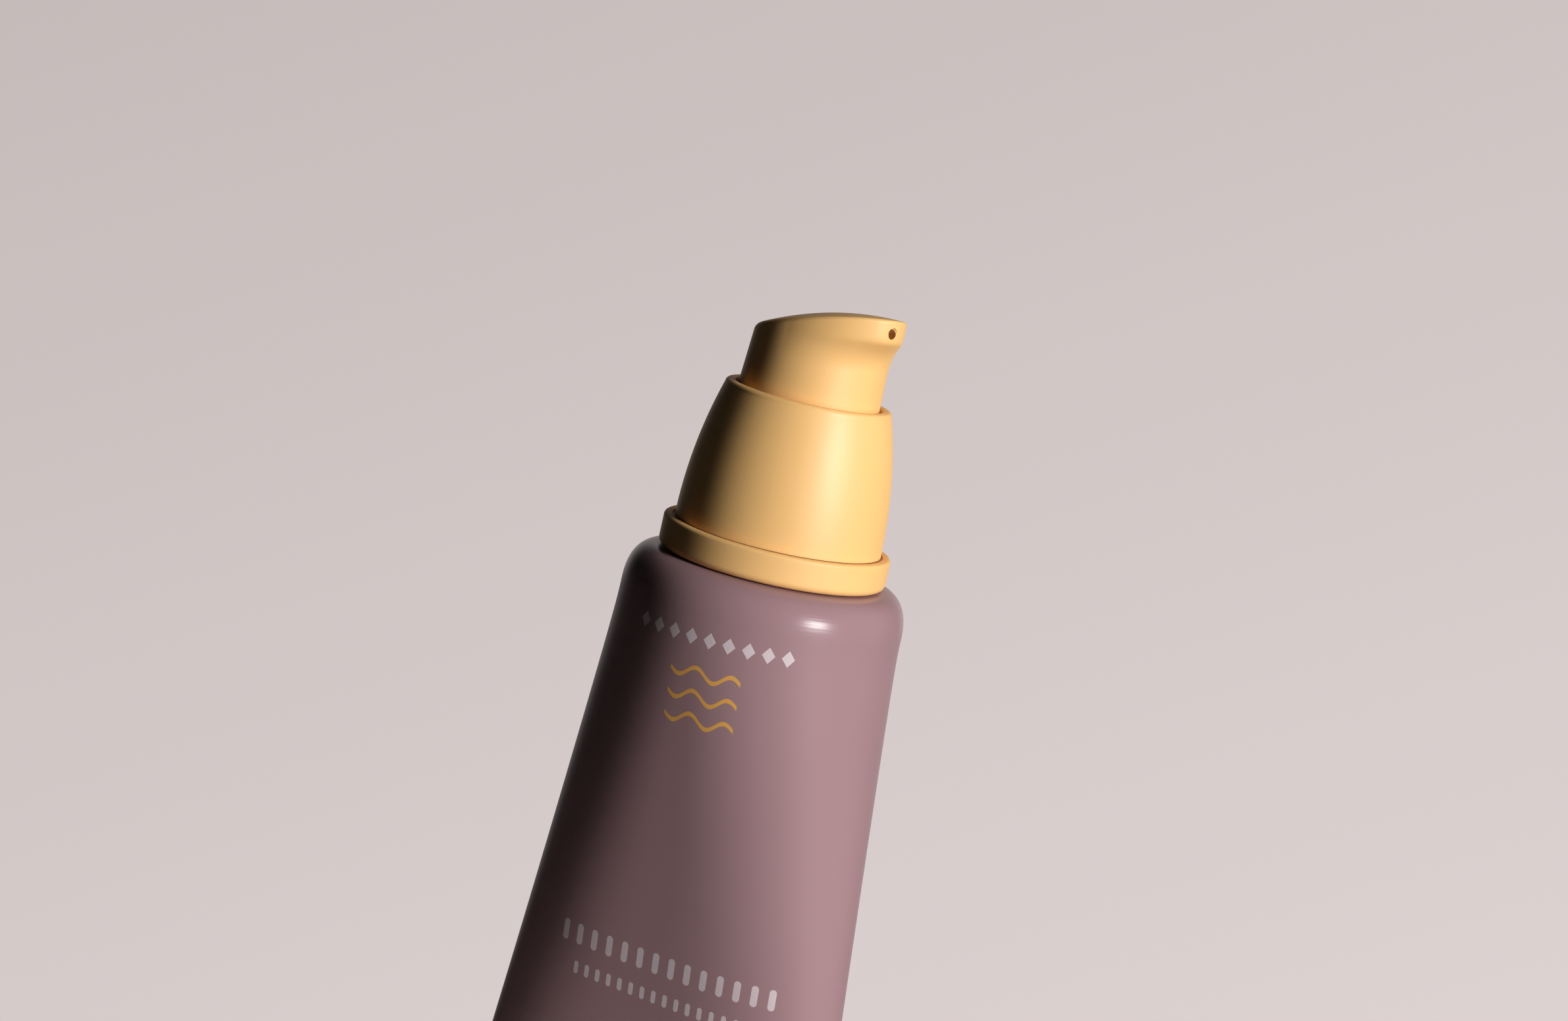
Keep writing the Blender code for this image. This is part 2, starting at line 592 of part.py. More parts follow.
def head_shell():
    """A closed loft: up the wall, out along the spout's underside, round the edge and over the crown."""
    sector = math.radians(30.0)
    near_spout = np.linspace(-sector, sector, 21)
    round_back = np.linspace(sector, TAU - sector, 36)[1:-1]
    angle = np.concatenate([near_spout, round_back])
    edge = HEAD_EDGE + (HEAD_BACK_EDGE - HEAD_EDGE) * (0.5 - 0.5 * np.cos(angle))
    wall = head_wall_radius(angle, SPOUT_UNDERSIDE)
    edge_foot = crown_height(wall * np.cos(angle), wall * np.sin(angle)) - edge
    wall_top = head_wall_radius(angle, np.minimum(SPOUT_UNDERSIDE, edge_foot))
    outline = spout_outline(angle, wall_top)
    edge_foot = crown_height(outline * np.cos(angle), outline * np.sin(angle)) - edge
    crease = SPOUT_UNDERSIDE - SPOUT_UNDERSIDE_SLOPE * (SPOUT_TIP - outline * np.cos(angle))
    crease = np.minimum(crease, edge_foot - LEAST_WALL_BAND)

    def ring(radius, height):
        height = np.broadcast_to(height, angle.shape)
        radius = np.broadcast_to(radius, angle.shape)
        return np.stack([radius * np.cos(angle), radius * np.sin(angle), height], 1)

    rings = [ring(HEAD_SKIRT_RADIUS, HEAD_SKIRT_FOOT)]
    for share in (1.0, 0.8, 0.6, 0.42, 0.26, 0.12, 0.0):
        height = crease - share * SPOUT_FILLET
        reach = (1.0 - share) ** SPOUT_FILLET_POWER
        rings.append(ring(head_wall_radius(angle, height) + reach * (outline - wall_top), height))
    for slope in np.radians((0.0, 30.0, 60.0, 90.0)):
        radius = outline - edge * (1.0 - math.cos(slope))
        top = crown_height(radius * np.cos(angle), radius * np.sin(angle))
        rings.append(ring(radius, top - edge * (1.0 - math.sin(slope))))
    for scale in (0.75, 0.5, 0.25, 0.02):
        radius = scale * (outline - edge)
        rings.append(ring(radius, crown_height(radius * np.cos(angle), radius * np.sin(angle))))
    return loft("actuator_head", rings)


def head_cavity():
    """The hollow under the head: a ring-shaped well round the stem's socket, and the riser above that."""
    cavity_radius = 8.6 * MM
    boss_radius = 4.2 * MM
    socket = STEM_RADIUS + GAP
    riser = 1.4 * MM
    below = HEAD_SKIRT_FOOT - 1.0 * MM
    points = [(0.0, DUCT_FOOT_HEIGHT), (riser, DUCT_FOOT_HEIGHT), (riser, HEAD_CEILING)]
    points += [(socket, HEAD_CEILING), (socket, HEAD_BOSS_FOOT)]
    points += [(boss_radius, HEAD_BOSS_FOOT), (boss_radius, HEAD_CEILING)]
    points += [(cavity_radius, HEAD_CEILING), (cavity_radius, below), (0.0, below)]
    cavity = add_cutter("head_cavity", profile_mesh("head_cavity", points, False), head_axis)
    turn = cavity.modifiers.new("turn", "SCREW")
    turn.angle = TAU
    turn.steps = HIDDEN_STEPS
    turn.render_steps = HIDDEN_STEPS
    turn.use_merge_vertices = True
    turn.merge_threshold = MERGE_DISTANCE
    return cavity


def head_duct():
    """The duct, from the top of the riser up to the orifice in the spout's tip."""
    past_tip = 1.0 * MM
    below_riser_top = 0.9 * MM
    start = Vector((0.0, 0.0, DUCT_FOOT_HEIGHT - below_riser_top))
    rise = (ORIFICE_HEIGHT - start.z) / SPOUT_TIP
    end = Vector((SPOUT_TIP + past_tip, 0.0, ORIFICE_HEIGHT + rise * past_tip))
    along = end - start
    turn = Matrix.Rotation(math.atan2(along.x, along.z), 4, "Y")
    drill = bmesh.new()
    bmesh.ops.create_cone(drill, cap_ends=True, segments=16, radius1=ORIFICE_RADIUS, radius2=ORIFICE_RADIUS,
                          depth=along.length, matrix=Matrix.Translation(0.5 * (start + end)) @ turn)
    mesh = bpy.data.meshes.new("head_duct")
    drill.to_mesh(mesh)
    drill.free()
    return add_cutter("head_duct", mesh, head_axis)


def make_actuator_head():
    mesh = head_shell()
    smooth(mesh, 40.0)
    head = add_object("actuator_head", mesh, PUMP_YELLOW, 0.4, 0.0, head_axis)
    combine(head, head_cavity(), "DIFFERENCE")
    combine(head, head_duct(), "DIFFERENCE")


make_tube_sleeve()
make_tube_shoulder()
make_neck_gasket()
make_screw_closure()
make_base_ring()
make_collar_sleeve()
make_pump_housing()
make_housing_cap()
make_stem_seal()
make_stem()
make_stem_seat()
make_piston()
make_return_spring()
make_inlet_ball()
make_intake_cage()
make_actuator_head()
bpy.context.view_layer.update()
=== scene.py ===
# %% [markdown]
# # A pump tube for sunscreen
# The object is a soft mauve squeeze tube with a small yellow pump on its shoulder. The imported model holds
# every piece at its real size, and we load it first. This lesson works out a fine surface for the four pieces
# that show, the threaded neck and the spring. The other pieces become smooth copies of the imported ones, and
# every piece gets a finish.

# %% Load the imported model
import json
import math

import bmesh
import bpy
import numpy as np
from mathutils import Matrix, Vector


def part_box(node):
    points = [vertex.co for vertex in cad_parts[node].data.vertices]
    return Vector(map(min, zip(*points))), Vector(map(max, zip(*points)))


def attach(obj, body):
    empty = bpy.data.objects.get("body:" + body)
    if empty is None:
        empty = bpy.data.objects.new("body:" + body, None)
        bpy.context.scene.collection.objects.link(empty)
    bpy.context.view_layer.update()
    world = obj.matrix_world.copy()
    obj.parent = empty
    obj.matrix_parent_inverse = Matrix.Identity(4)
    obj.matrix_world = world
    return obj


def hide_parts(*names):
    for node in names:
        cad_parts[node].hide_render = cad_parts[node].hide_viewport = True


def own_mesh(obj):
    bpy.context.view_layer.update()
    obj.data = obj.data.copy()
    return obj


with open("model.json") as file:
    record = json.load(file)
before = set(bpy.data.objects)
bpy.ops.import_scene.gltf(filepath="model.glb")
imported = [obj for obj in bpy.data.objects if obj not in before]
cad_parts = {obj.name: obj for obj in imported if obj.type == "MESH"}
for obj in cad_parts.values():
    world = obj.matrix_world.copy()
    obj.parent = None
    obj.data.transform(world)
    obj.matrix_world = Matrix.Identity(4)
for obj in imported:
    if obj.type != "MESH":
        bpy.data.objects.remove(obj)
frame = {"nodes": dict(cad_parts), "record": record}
MM = 0.001
TAU = 2.0 * math.pi
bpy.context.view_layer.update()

# %% [markdown]
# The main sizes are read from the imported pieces, so that the fine surfaces sit where the plain ones do.
# Heights on the pump count from the base ring's foot.

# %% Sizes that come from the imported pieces
tube_low, tube_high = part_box("tube_sleeve")
ring_low, ring_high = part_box("base_ring")
collar_low, collar_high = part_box("collar_sleeve")

RING_FOOT = 0.1 * MM
PUMP_FOOT = ring_low.z - RING_FOOT
TUBE_RADIUS = tube_high.y
CRIMP_HALF_WIDTH = tube_high.x
RING_RADIUS = ring_high.x
RING_HEIGHT = ring_high.z - PUMP_FOOT
COLLAR_TOP = collar_high.z - PUMP_FOOT
print("tube %.1f mm across, pump's foot at %.1f mm" % (2.0 * TUBE_RADIUS / MM, PUMP_FOOT / MM))

# %% [markdown]
# ## Camera
# The photograph looks slightly down at the pump, with the tube leaning to the left. A camera that rolls about
# its own line of sight gives that lean, while the object stays upright in its frame. The focal length is in
# the photograph's pixels, as a fit to a few known points gives it.

# %% Camera at the photograph's view
PHOTO_WIDTH = 2380
FOCAL_PIXELS = 5000.0
SENSOR = 36.0
VIEW_AZIMUTH = math.radians(25.0)
VIEW_ELEVATION = math.radians(9.0)
VIEW_ROLL = math.radians(12.7)
VIEW_DISTANCE = 458.3 * MM
AIM_HEIGHT = PUMP_FOOT + 8.05 * MM
AIM_SIDE = 0.08 * MM


def new_object(name, data):
    """An object in the scene that shows some data: a camera, a mesh or a lamp."""
    made = bpy.data.objects.new(name, data)
    bpy.context.scene.collection.objects.link(made)
    return made


def direction(azimuth, elevation):
    """The unit vector towards a point seen at this azimuth and elevation: azimuth 0 lies along -Y."""
    flat = math.cos(elevation)
    return Vector((math.sin(azimuth) * flat, -math.cos(azimuth) * flat, math.sin(elevation)))


def make_camera():
    back = direction(VIEW_AZIMUTH, VIEW_ELEVATION)
    level = Vector((math.cos(VIEW_AZIMUTH), math.sin(VIEW_AZIMUTH), 0.0))
    upright = back.cross(level)
    right = level * math.cos(VIEW_ROLL) + upright * math.sin(VIEW_ROLL)
    up = upright * math.cos(VIEW_ROLL) - level * math.sin(VIEW_ROLL)
    data = bpy.data.cameras.new("photo_camera")
    data.sensor_width = SENSOR
    data.lens = FOCAL_PIXELS / PHOTO_WIDTH * SENSOR
    data.clip_start = 0.01
    camera = new_object("photo_camera", data)
    camera.matrix_world = Matrix((right, up, back)).transposed().to_4x4()
    camera.location = Vector((0.0, 0.0, AIM_HEIGHT)) + level * AIM_SIDE + back * VIEW_DISTANCE
    bpy.context.scene.camera = camera
    return camera


camera = make_camera()
print("lens %.1f mm at %.0f mm" % (camera.data.lens, VIEW_DISTANCE / MM))

# %% [markdown]
# ## Surfaces from grids
# Every new piece is a surface over two parameters: rows of points, and columns round the axis. All points are
# worked out at once as an array, and the faces follow from the grid's own order. Where a row shrinks to one
# point, its doubles are merged into a clean pole.

# %% Grid tools
MERGE = 0.0005 * MM


def grid_faces(rows, columns, wrap_rows=False):
    """Quads between each row and the next, and each column and the next, with the columns going round."""
    row = np.arange(rows if wrap_rows else rows - 1)[:, None]
    column = np.arange(columns)[None, :]
    above = (row + 1) % rows
    beside = (column + 1) % columns
    corners = [row * columns + column, row * columns + beside,
               above * columns + beside, above * columns + column]
    return np.stack(np.broadcast_arrays(*corners), -1).reshape(-1, 4)


def ladder_faces(start, columns, turned_over):
    """Quads that close one flat ring of the grid, each rung going straight across from side to side."""
    rung = np.arange(columns // 2)
    corners = [start + rung, start + rung + 1, start + (columns - rung - 1) % columns,
               start + (columns - rung) % columns]
    if turned_over:
        corners.reverse()
    return np.stack(corners, -1)


def add_surface(name, points, wrap_rows=False, ladders=(), sharp_angle=40.0):
    """A mesh object from an array of points (rows, columns, 3), smooth but for edges over the sharp angle."""
    rows, columns, _ = points.shape
    faces = [grid_faces(rows, columns, wrap_rows)]
    faces += [ladder_faces(row * columns, columns, turned_over) for row, turned_over in ladders]
    mesh = bpy.data.meshes.new(name)
    mesh.from_pydata(points.reshape(-1, 3).tolist(), [], np.concatenate(faces).tolist())
    mesh.update()
    piece = new_object(name, mesh)
    finish_mesh(piece, sharp_angle)
    print("%s: %d faces" % (name, len(mesh.polygons)))
    return piece


def finish_mesh(piece, sharp_angle):
    """Merges doubled points, which drops the faces between them, and shades the mesh smooth."""
    work = bmesh.new()
    work.from_mesh(piece.data)
    bmesh.ops.remove_doubles(work, verts=work.verts, dist=MERGE)
    work.to_mesh(piece.data)
    work.free()
    shade(piece, sharp_angle)


def shade(piece, sharp_angle):
    """Smooth shading, but for edges that turn by more than an angle in degrees."""
    piece.data.shade_smooth()
    piece.data.set_sharp_from_angle(angle=math.radians(sharp_angle))


def paint(piece, material):
    """Gives a piece one finish."""
    piece.data.materials.clear()
    piece.data.materials.append(material)


def turn_profile(profile, columns, proud=0.0):
    """A turned surface: each (radius, height) goes round the axis, with what stands proud of the radius."""
    angle = np.arange(columns) * TAU / columns
    radius, height = np.asarray(profile).T
    radius = radius[:, None] + proud
    x = radius * np.cos(angle)
    y = radius * np.sin(angle)
    z = np.broadcast_to(PUMP_FOOT + height[:, None], x.shape)
    return np.stack([x, y, z], -1)


def corner(radius, height, rounding, start, end, count):
    """A round corner of a profile: an arc about (radius, height), from one angle in degrees to another."""
    angle = np.radians(np.linspace(start, end, count))
    return np.stack([radius + rounding * np.cos(angle), height + rounding * np.sin(angle)], 1)


def straight(start, end, count):
    """Evenly spaced points between two (radius, height) points, without the last one."""
    share = np.linspace(0.0, 1.0, count, endpoint=False)[:, None]
    return (1.0 - share) * np.asarray(start) + share * np.asarray(end)


# %% [markdown]
# ## The soft sleeve
# The real sleeve is a length of extruded pipe. Its mouth is moulded to the shoulder, and its far end is
# pressed flat and welded. A lofted cage would only come near that, so each section follows from its distance
# below the shoulder: a circle that is drawn out to a flat-sided oval. Its points then go in equal steps along
# the girth, because flattening a pipe doesn't change its girth. The mouth sits 0.15 mm nearer to the base
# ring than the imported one, which keeps the dark gap there as narrow as in the photograph.

# %% Sleeve: sizes
CRIMP_HEIGHT = 6.0 * MM
SLEEVE_WALL = 0.5 * MM
FLATTEN_START = 4.0 * MM
SECTION_POWER = 0.4
SHOULDER_HEIGHT = 6.0 * MM
FLAT_LENGTH = tube_high.z - SHOULDER_HEIGHT - CRIMP_HEIGHT
SHOULDER_WIDTH = 4.2 * MM
SHOULDER_POWER = 2.4
SHOULDER_TOP = -0.05 * MM
MOUTH_RADIUS = 13.9 * MM
SLEEVE_COLUMNS = 360
SECTION_POINTS = 4000
GIRTH = TAU * TUBE_RADIUS
print("girth %.1f mm, sealed end %.1f mm wide" % (GIRTH / MM, 2.0 * CRIMP_HALF_WIDTH / MM))


# %% Sleeve: one section
def walk_girth(section, columns):
    """Equal steps along a closed section, whose points are joined by straight lines."""
    closed = np.concatenate([section, section[:1]])
    steps = np.linalg.norm(np.diff(closed, axis=0), axis=1)
    length = np.concatenate([[0.0], np.cumsum(steps)])
    wanted = np.arange(columns) / columns * length[-1]
    return np.stack([np.interp(wanted, length, closed[:, axis]) for axis in range(2)], 1)


def sleeve_section(distance, inset, half_seal):
    """The sleeve's section at a distance below the shoulder, set in from its outer face.

    The share of the seal's shape grows in a straight line after a soft start, the rest is the circle's.
    Across, the circle has its cosine and the seal the cosine to the power 0.4, which gives flat sides. The
    seal's ends are half round.
    """
    flat = math.hypot(distance, FLATTEN_START) - FLATTEN_START
    flat /= math.hypot(FLAT_LENGTH, FLATTEN_START) - FLATTEN_START
    angle = np.linspace(0.0, TAU, SECTION_POINTS, endpoint=False)
    across, up = np.cos(angle), np.sin(angle)
    side = np.sign(across) * np.abs(across) ** SECTION_POWER
    from_end = np.minimum(CRIMP_HALF_WIDTH * (1.0 - np.abs(side)) / SLEEVE_WALL, 1.0)
    seal = (half_seal - inset) * np.sqrt(1.0 - (1.0 - from_end) ** 2) * np.sign(up)
    x = (1.0 - flat) * (TUBE_RADIUS - inset) * across + flat * (CRIMP_HALF_WIDTH - inset) * side
    y = (1.0 - flat) * (TUBE_RADIUS - inset) * up + flat * seal
    return walk_girth(np.stack([x, y], 1), SLEEVE_COLUMNS)


def shoulder_curve(inset, count):
    """The shoulder's rounding: a quarter of a superellipse, inset from the sleeve's outer face."""
    t = np.linspace(0.0, 0.5 * math.pi, count)
    power = 2.0 / SHOULDER_POWER
    radius = TUBE_RADIUS - SHOULDER_WIDTH + (SHOULDER_WIDTH - inset) * np.cos(t).clip(0.0) ** power
    height = SHOULDER_TOP - SHOULDER_HEIGHT + (SHOULDER_HEIGHT - inset) * np.sin(t) ** power
    return np.stack([radius, height], 1)


# %% [markdown]
# The seal of such a tube carries a few lines that the hot jaws pressed into it. They are real dips of the
# seal's thickness here, so they show in the mesh and not only in the shading.

# %% Sleeve: the whole surface
SEAL_GROOVES = 5
SEAL_GROOVE_PITCH = 0.8 * MM
SEAL_GROOVE_FOOT = 1.4 * MM
SEAL_GROOVE_DEPTH = 0.12 * MM
SEAL_EDGE = 0.12 * MM
SEAL_EDGE_ROWS = SEAL_EDGE * np.array([0.0, 0.15, 0.5, 1.0])
SEAL_FACE_ROWS = np.linspace(0.5 * MM, CRIMP_HEIGHT, 56)
HOLLOW_END = 1.5 * MM
SLEEVE_ROWS = 140
ROWS_TO_SHOULDER = 1.6


def seal_half_thickness(height):
    """Half the seal's thickness: 0.5 mm, less a row of smooth dips, and rounded off at the cut edge."""
    phase = (height - SEAL_GROOVE_FOOT) / SEAL_GROOVE_PITCH
    inside = (phase > 0.0) & (phase < SEAL_GROOVES)
    dip = np.where(inside, 0.5 - 0.5 * np.cos(TAU * phase), 0.0)
    cut = np.clip(1.0 - height / SEAL_EDGE, 0.0, 1.0)
    return SLEEVE_WALL - SEAL_GROOVE_DEPTH * dip - SEAL_EDGE * (1.0 - np.sqrt(1.0 - cut ** 2))


def at_height(section, height):
    """A flat section put at one height of the tube."""
    return np.column_stack([section, np.full(len(section), height)])


def sleeve_points():
    """The outside from the seal to the mouth, and back down the inside to just above the seal.

    The outer rows crowd towards the shoulder: their distances from it are even steps to the power 1.6.
    """
    top = CRIMP_HEIGHT + FLAT_LENGTH
    seal_rows = np.concatenate([SEAL_EDGE_ROWS, SEAL_FACE_ROWS])
    rows = [at_height(sleeve_section(FLAT_LENGTH, 0.0, seal_half_thickness(z)), z) for z in seal_rows]
    outer = FLAT_LENGTH * np.linspace(1.0, 0.0, SLEEVE_ROWS)[1:] ** ROWS_TO_SHOULDER
    rows += [at_height(sleeve_section(d, 0.0, SLEEVE_WALL), top - d) for d in outer]
    mouth = np.array([[MOUTH_RADIUS, SHOULDER_TOP], [MOUTH_RADIUS, SHOULDER_TOP - SLEEVE_WALL]])
    over = np.concatenate([shoulder_curve(0.0, 36)[1:], mouth, shoulder_curve(SLEEVE_WALL, 12)[:0:-1]])
    rows += list(turn_profile(over, SLEEVE_COLUMNS))
    inner = np.linspace(0.0, FLAT_LENGTH - HOLLOW_END, 20)
    rows += [at_height(sleeve_section(d, SLEEVE_WALL, SLEEVE_WALL), top - d) for d in inner]
    return np.array(rows)


# %% [markdown]
# The print follows the plastic round its curve, so the finish has to know where a point lies along the girth.
# That length is stored on each point, in metres from the middle of the front.

# %% Sleeve: the piece
FRONT_SHARE = 0.75


def add_girth(piece, points):
    """Stores each point's place along the girth, counted from the front's middle, three quarters round."""
    share = (np.arange(points.shape[1]) / points.shape[1] - FRONT_SHARE + 0.5) % 1.0 - 0.5
    girth = np.broadcast_to(share * GIRTH, points.shape[:2])
    attribute = piece.data.attributes.new("girth", "FLOAT", "POINT")
    attribute.data.foreach_set("value", girth.ravel().astype(np.float32))


def make_sleeve():
    points = sleeve_points()
    rows = len(points)
    piece = add_surface("soft_sleeve", points, ladders=[(0, True), (rows - 1, False)])
    if len(piece.data.vertices) != points.shape[0] * points.shape[1]:
        raise ValueError("the sleeve's grid lost points, so the girth can't be stored")
    add_girth(piece, points)
    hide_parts("tube_sleeve")
    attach(piece, "tube")
    return piece


soft_sleeve = make_sleeve()

# %% [markdown]
# ## Base ring and collar
# Both are turned mouldings, so each is one profile carried round the axis. What makes them look moulded is
# the rounding of every edge, which catches a thin line of light, so the corners are arcs with their own
# radii. Both turn with the closure that they cover.

# %% Base ring
CLOSURE_RADIUS = 12.9 * MM
GAP = 0.3 * MM
RING_LOW_EDGE = 1.0 * MM
RING_TOP_EDGE = 0.5 * MM
RING_RECESS = 0.3 * MM
RING_LIP = 0.12 * MM
COLLAR_FOOT_RADIUS = 14.66 * MM
TURNED_COLUMNS = 240


def ring_profile():
    """Round the ring's section: up its outer face, in over its ledge, and down its bore to the foot."""
    bore = CLOSURE_RADIUS + GAP
    recess = COLLAR_FOOT_RADIUS + GAP
    floor = RING_HEIGHT - RING_RECESS
    low_end = RING_FOOT + RING_LOW_EDGE
    top_start = RING_HEIGHT - RING_TOP_EDGE
    low = corner(RING_RADIUS - RING_LOW_EDGE, low_end, RING_LOW_EDGE, -90.0, 0.0, 14)
    face = straight((RING_RADIUS, low_end), (RING_RADIUS, top_start), 8)[1:]
    top = corner(RING_RADIUS - RING_TOP_EDGE, top_start, RING_TOP_EDGE, 0.0, 90.0, 12)
    lip = corner(recess + RING_LIP, RING_HEIGHT - RING_LIP, RING_LIP, 90.0, 180.0, 5)
    inside = np.array([[recess, floor], [bore, floor], [bore, RING_FOOT]])
    return np.concatenate([low, face, top, lip, inside])


def make_turned(name, profile, node):
    """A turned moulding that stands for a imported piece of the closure."""
    piece = add_surface(name, turn_profile(profile, TURNED_COLUMNS), wrap_rows=True)
    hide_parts(node)
    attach(piece, "closure")
    return piece


ring_moulding = make_turned("ring_moulding", ring_profile(), "base_ring")

# %% Collar
COLLAR_CURVE = 68.0 * MM
COLLAR_MOUTH = 10.4 * MM
COLLAR_EDGE = 0.6 * MM
COLLAR_EDGE_START = 8.0
COLLAR_LIP = 0.3 * MM
COLLAR_WALL = 1.4 * MM
COLLAR_WAIST = 15.0 * MM
COLLAR_NECK_FOOT = 19.0 * MM
COLLAR_NECK = 21.5 * MM
CLOSURE_TOP = 11.3 * MM


def collar_radius(height):
    """The barrel's outer radius: a circle arc of 68 mm that stands upright at the collar's foot."""
    return COLLAR_FOOT_RADIUS - COLLAR_CURVE + np.sqrt(COLLAR_CURVE ** 2 - (height - RING_HEIGHT) ** 2)


def collar_profile():
    """Round the collar's section: up its outer face, over its edge, and down inside to the closure."""
    foot = RING_HEIGHT - RING_RECESS + GAP
    bore = CLOSURE_RADIUS + GAP
    rim_foot = COLLAR_TOP - COLLAR_EDGE
    rim_radius = float(collar_radius(rim_foot)) - COLLAR_EDGE
    heights = np.linspace(foot, rim_foot, 60)
    outer = np.stack([collar_radius(heights), heights], 1)
    rim = corner(rim_radius, rim_foot, COLLAR_EDGE, COLLAR_EDGE_START, 90.0, 14)
    lip = corner(COLLAR_MOUTH + COLLAR_LIP, COLLAR_TOP - COLLAR_LIP, COLLAR_LIP, 90.0, 180.0, 8)
    inside = [(COLLAR_MOUTH, COLLAR_NECK)]
    inside += [(float(collar_radius(z)) - COLLAR_WALL, z) for z in (COLLAR_NECK_FOOT, COLLAR_WAIST)]
    inside += [(bore, CLOSURE_TOP + GAP), (bore, foot)]
    return np.concatenate([outer, rim, lip, np.array(inside)])


collar_moulding = make_turned("collar_moulding", collar_profile(), "collar_sleeve")

# %% [markdown]
# ## Push head
# The head is a round skirt whose top reaches out into a short spout. It is one loft: every row has the same
# columns, from the skirt's foot up the wall, out along the spout's underside, round the top edge and over the
# domed crown. The crease under the spout is soft, so the underside blends into the spout's side, and the
# blend widens as the crease fades into the round wall.

# %% Push head: sizes
HEAD_SWING = math.radians(-20.0)
SKIRT_FOOT = 17.0 * MM
SKIRT_RADIUS = 9.95 * MM
HEAD_LEAN = 0.085
HEAD_LEAN_START = 25.0 * MM
SPOUT_TIP = 13.0 * MM
NOSE_RADIUS = 5.2 * MM
UNDERSIDE = 34.8 * MM
UNDERSIDE_SLOPE = 0.14
SPOUT_FILLET = 4.5 * MM
HEAD_CREST = 38.1 * MM
CROWN_LONG_RADIUS = 41.3 * MM
CROWN_CROSS_RADIUS = 28.8 * MM
HEAD_EDGE = 0.45 * MM
HEAD_BACK_EDGE = 0.8 * MM
LEAST_WALL_BAND = 0.4 * MM
CREASE_ROUNDING = 0.45 * MM
OUTLINE_POINTS = 7200
HEAD_COLUMNS = 320


# %% Push head: its outline and crown
def wall_radius(angle, height):
    """The wall leans in above the collar: fully at the back, and not at all under the spout."""
    lean = HEAD_LEAN * (0.5 - 0.5 * np.cos(angle))
    return SKIRT_RADIUS - lean * np.maximum(0.0, height - HEAD_LEAN_START)


def spout_outline(angle, wall):
    """Radius of the head seen from above: the wall, a long arc on each flank, and the nose's small arc.

    A flank's arc leaves the wall a quarter turn from the spout and meets the nose's arc without a corner.
    """
    body_radius = float(wall_radius(0.5 * math.pi, UNDERSIDE))
    nose_centre = SPOUT_TIP - NOSE_RADIUS
    angle = np.abs((angle + math.pi) % TAU - math.pi)
    flank = body_radius ** 2 + nose_centre ** 2 - NOSE_RADIUS ** 2
    flank /= 2.0 * (body_radius - NOSE_RADIUS)
    beyond = flank - body_radius
    lean = math.atan2(beyond, nose_centre)
    join = math.atan2(flank * math.sin(lean) - beyond, flank * math.cos(lean))
    side = nose_centre * np.sin(np.minimum(angle, join))
    nose = nose_centre * np.cos(np.minimum(angle, join)) + np.sqrt(NOSE_RADIUS ** 2 - side ** 2)
    arc_radius = np.sqrt(flank ** 2 - (beyond * np.cos(angle)) ** 2) - beyond * np.sin(angle)
    arc_radius = np.maximum(arc_radius, wall)
    return np.where(angle < join, nose, np.where(angle < 0.5 * math.pi, arc_radius, wall))


def crown_height(radius, angle):
    """The top face: a dome, highest at the spout's tip, that falls to the back and to the sides."""
    back = SPOUT_TIP - radius * np.cos(angle)
    side = radius * np.sin(angle)
    return HEAD_CREST - back ** 2 / (2.0 * CROWN_LONG_RADIUS) - side ** 2 / (2.0 * CROWN_CROSS_RADIUS)


def head_angles(columns):
    """Angles of the columns: equal steps along the outline, so that the small nose gets its share of them."""
    fine = np.linspace(0.0, TAU, OUTLINE_POINTS, endpoint=False)
    radius = spout_outline(fine, wall_radius(fine, UNDERSIDE))
    outline = np.stack([radius * np.cos(fine), radius * np.sin(fine)], 1)
    walked = walk_girth(outline, columns)
    return np.arctan2(walked[:, 1], walked[:, 0]) % TAU


# %% Push head: the outer rows
def head_rows():
    """Rows of (radius, height) over the angles, from the skirt's foot to the middle of the crown."""
    angle = head_angles(HEAD_COLUMNS)
    edge = HEAD_EDGE + (HEAD_BACK_EDGE - HEAD_EDGE) * (0.5 - 0.5 * np.cos(angle))
    wall = wall_radius(angle, UNDERSIDE)
    edge_foot = crown_height(wall, angle) - edge
    wall_top = wall_radius(angle, np.minimum(UNDERSIDE, edge_foot))
    outline = spout_outline(angle, wall_top)
    edge_foot = crown_height(outline, angle) - edge
    crease = UNDERSIDE - UNDERSIDE_SLOPE * (SPOUT_TIP - outline * np.cos(angle))
    crease = np.minimum(crease, edge_foot - LEAST_WALL_BAND)
    rows = [(SKIRT_RADIUS, height) for height in np.linspace(SKIRT_FOOT, HEAD_LEAN_START, 10)]
    for share in np.linspace(0.0, 1.0, 60)[1:]:
        height = HEAD_LEAN_START + share * (edge_foot - HEAD_LEAN_START)
        below = (crease - height) / SPOUT_FILLET
        soft = CREASE_ROUNDING / SPOUT_FILLET
        reach = (1.0 - 0.5 * (below + np.sqrt(below ** 2 + soft ** 2))).clip(0.0) ** 2
        rows.append((wall_radius(angle, height) + reach * (outline - wall_top), height))
    body = rows[-1][0]
    for slope in np.radians(np.linspace(0.0, 90.0, 10))[1:]:
        radius = body - edge * (1.0 - math.cos(slope))
        rows.append((radius, crown_height(radius, angle) - edge * (1.0 - math.sin(slope))))
    for scale in np.linspace(1.0, 0.0, 28)[1:]:
        radius = scale * (body - edge)
        rows.append((radius, crown_height(radius, angle)))
    return angle, rows


# %% Push head: the hollow under it, and the whole surface
SKIRT_FOOT_EDGE = 0.3 * MM
HOLLOW_RADIUS = 8.6 * MM
HOLLOW_TOP = 31.0 * MM
BOSS_RADIUS = 4.2 * MM
BOSS_FOOT = 22.5 * MM
SOCKET_RADIUS = 2.8 * MM
RISER_RADIUS = 1.4 * MM
RISER_TOP = 33.4 * MM


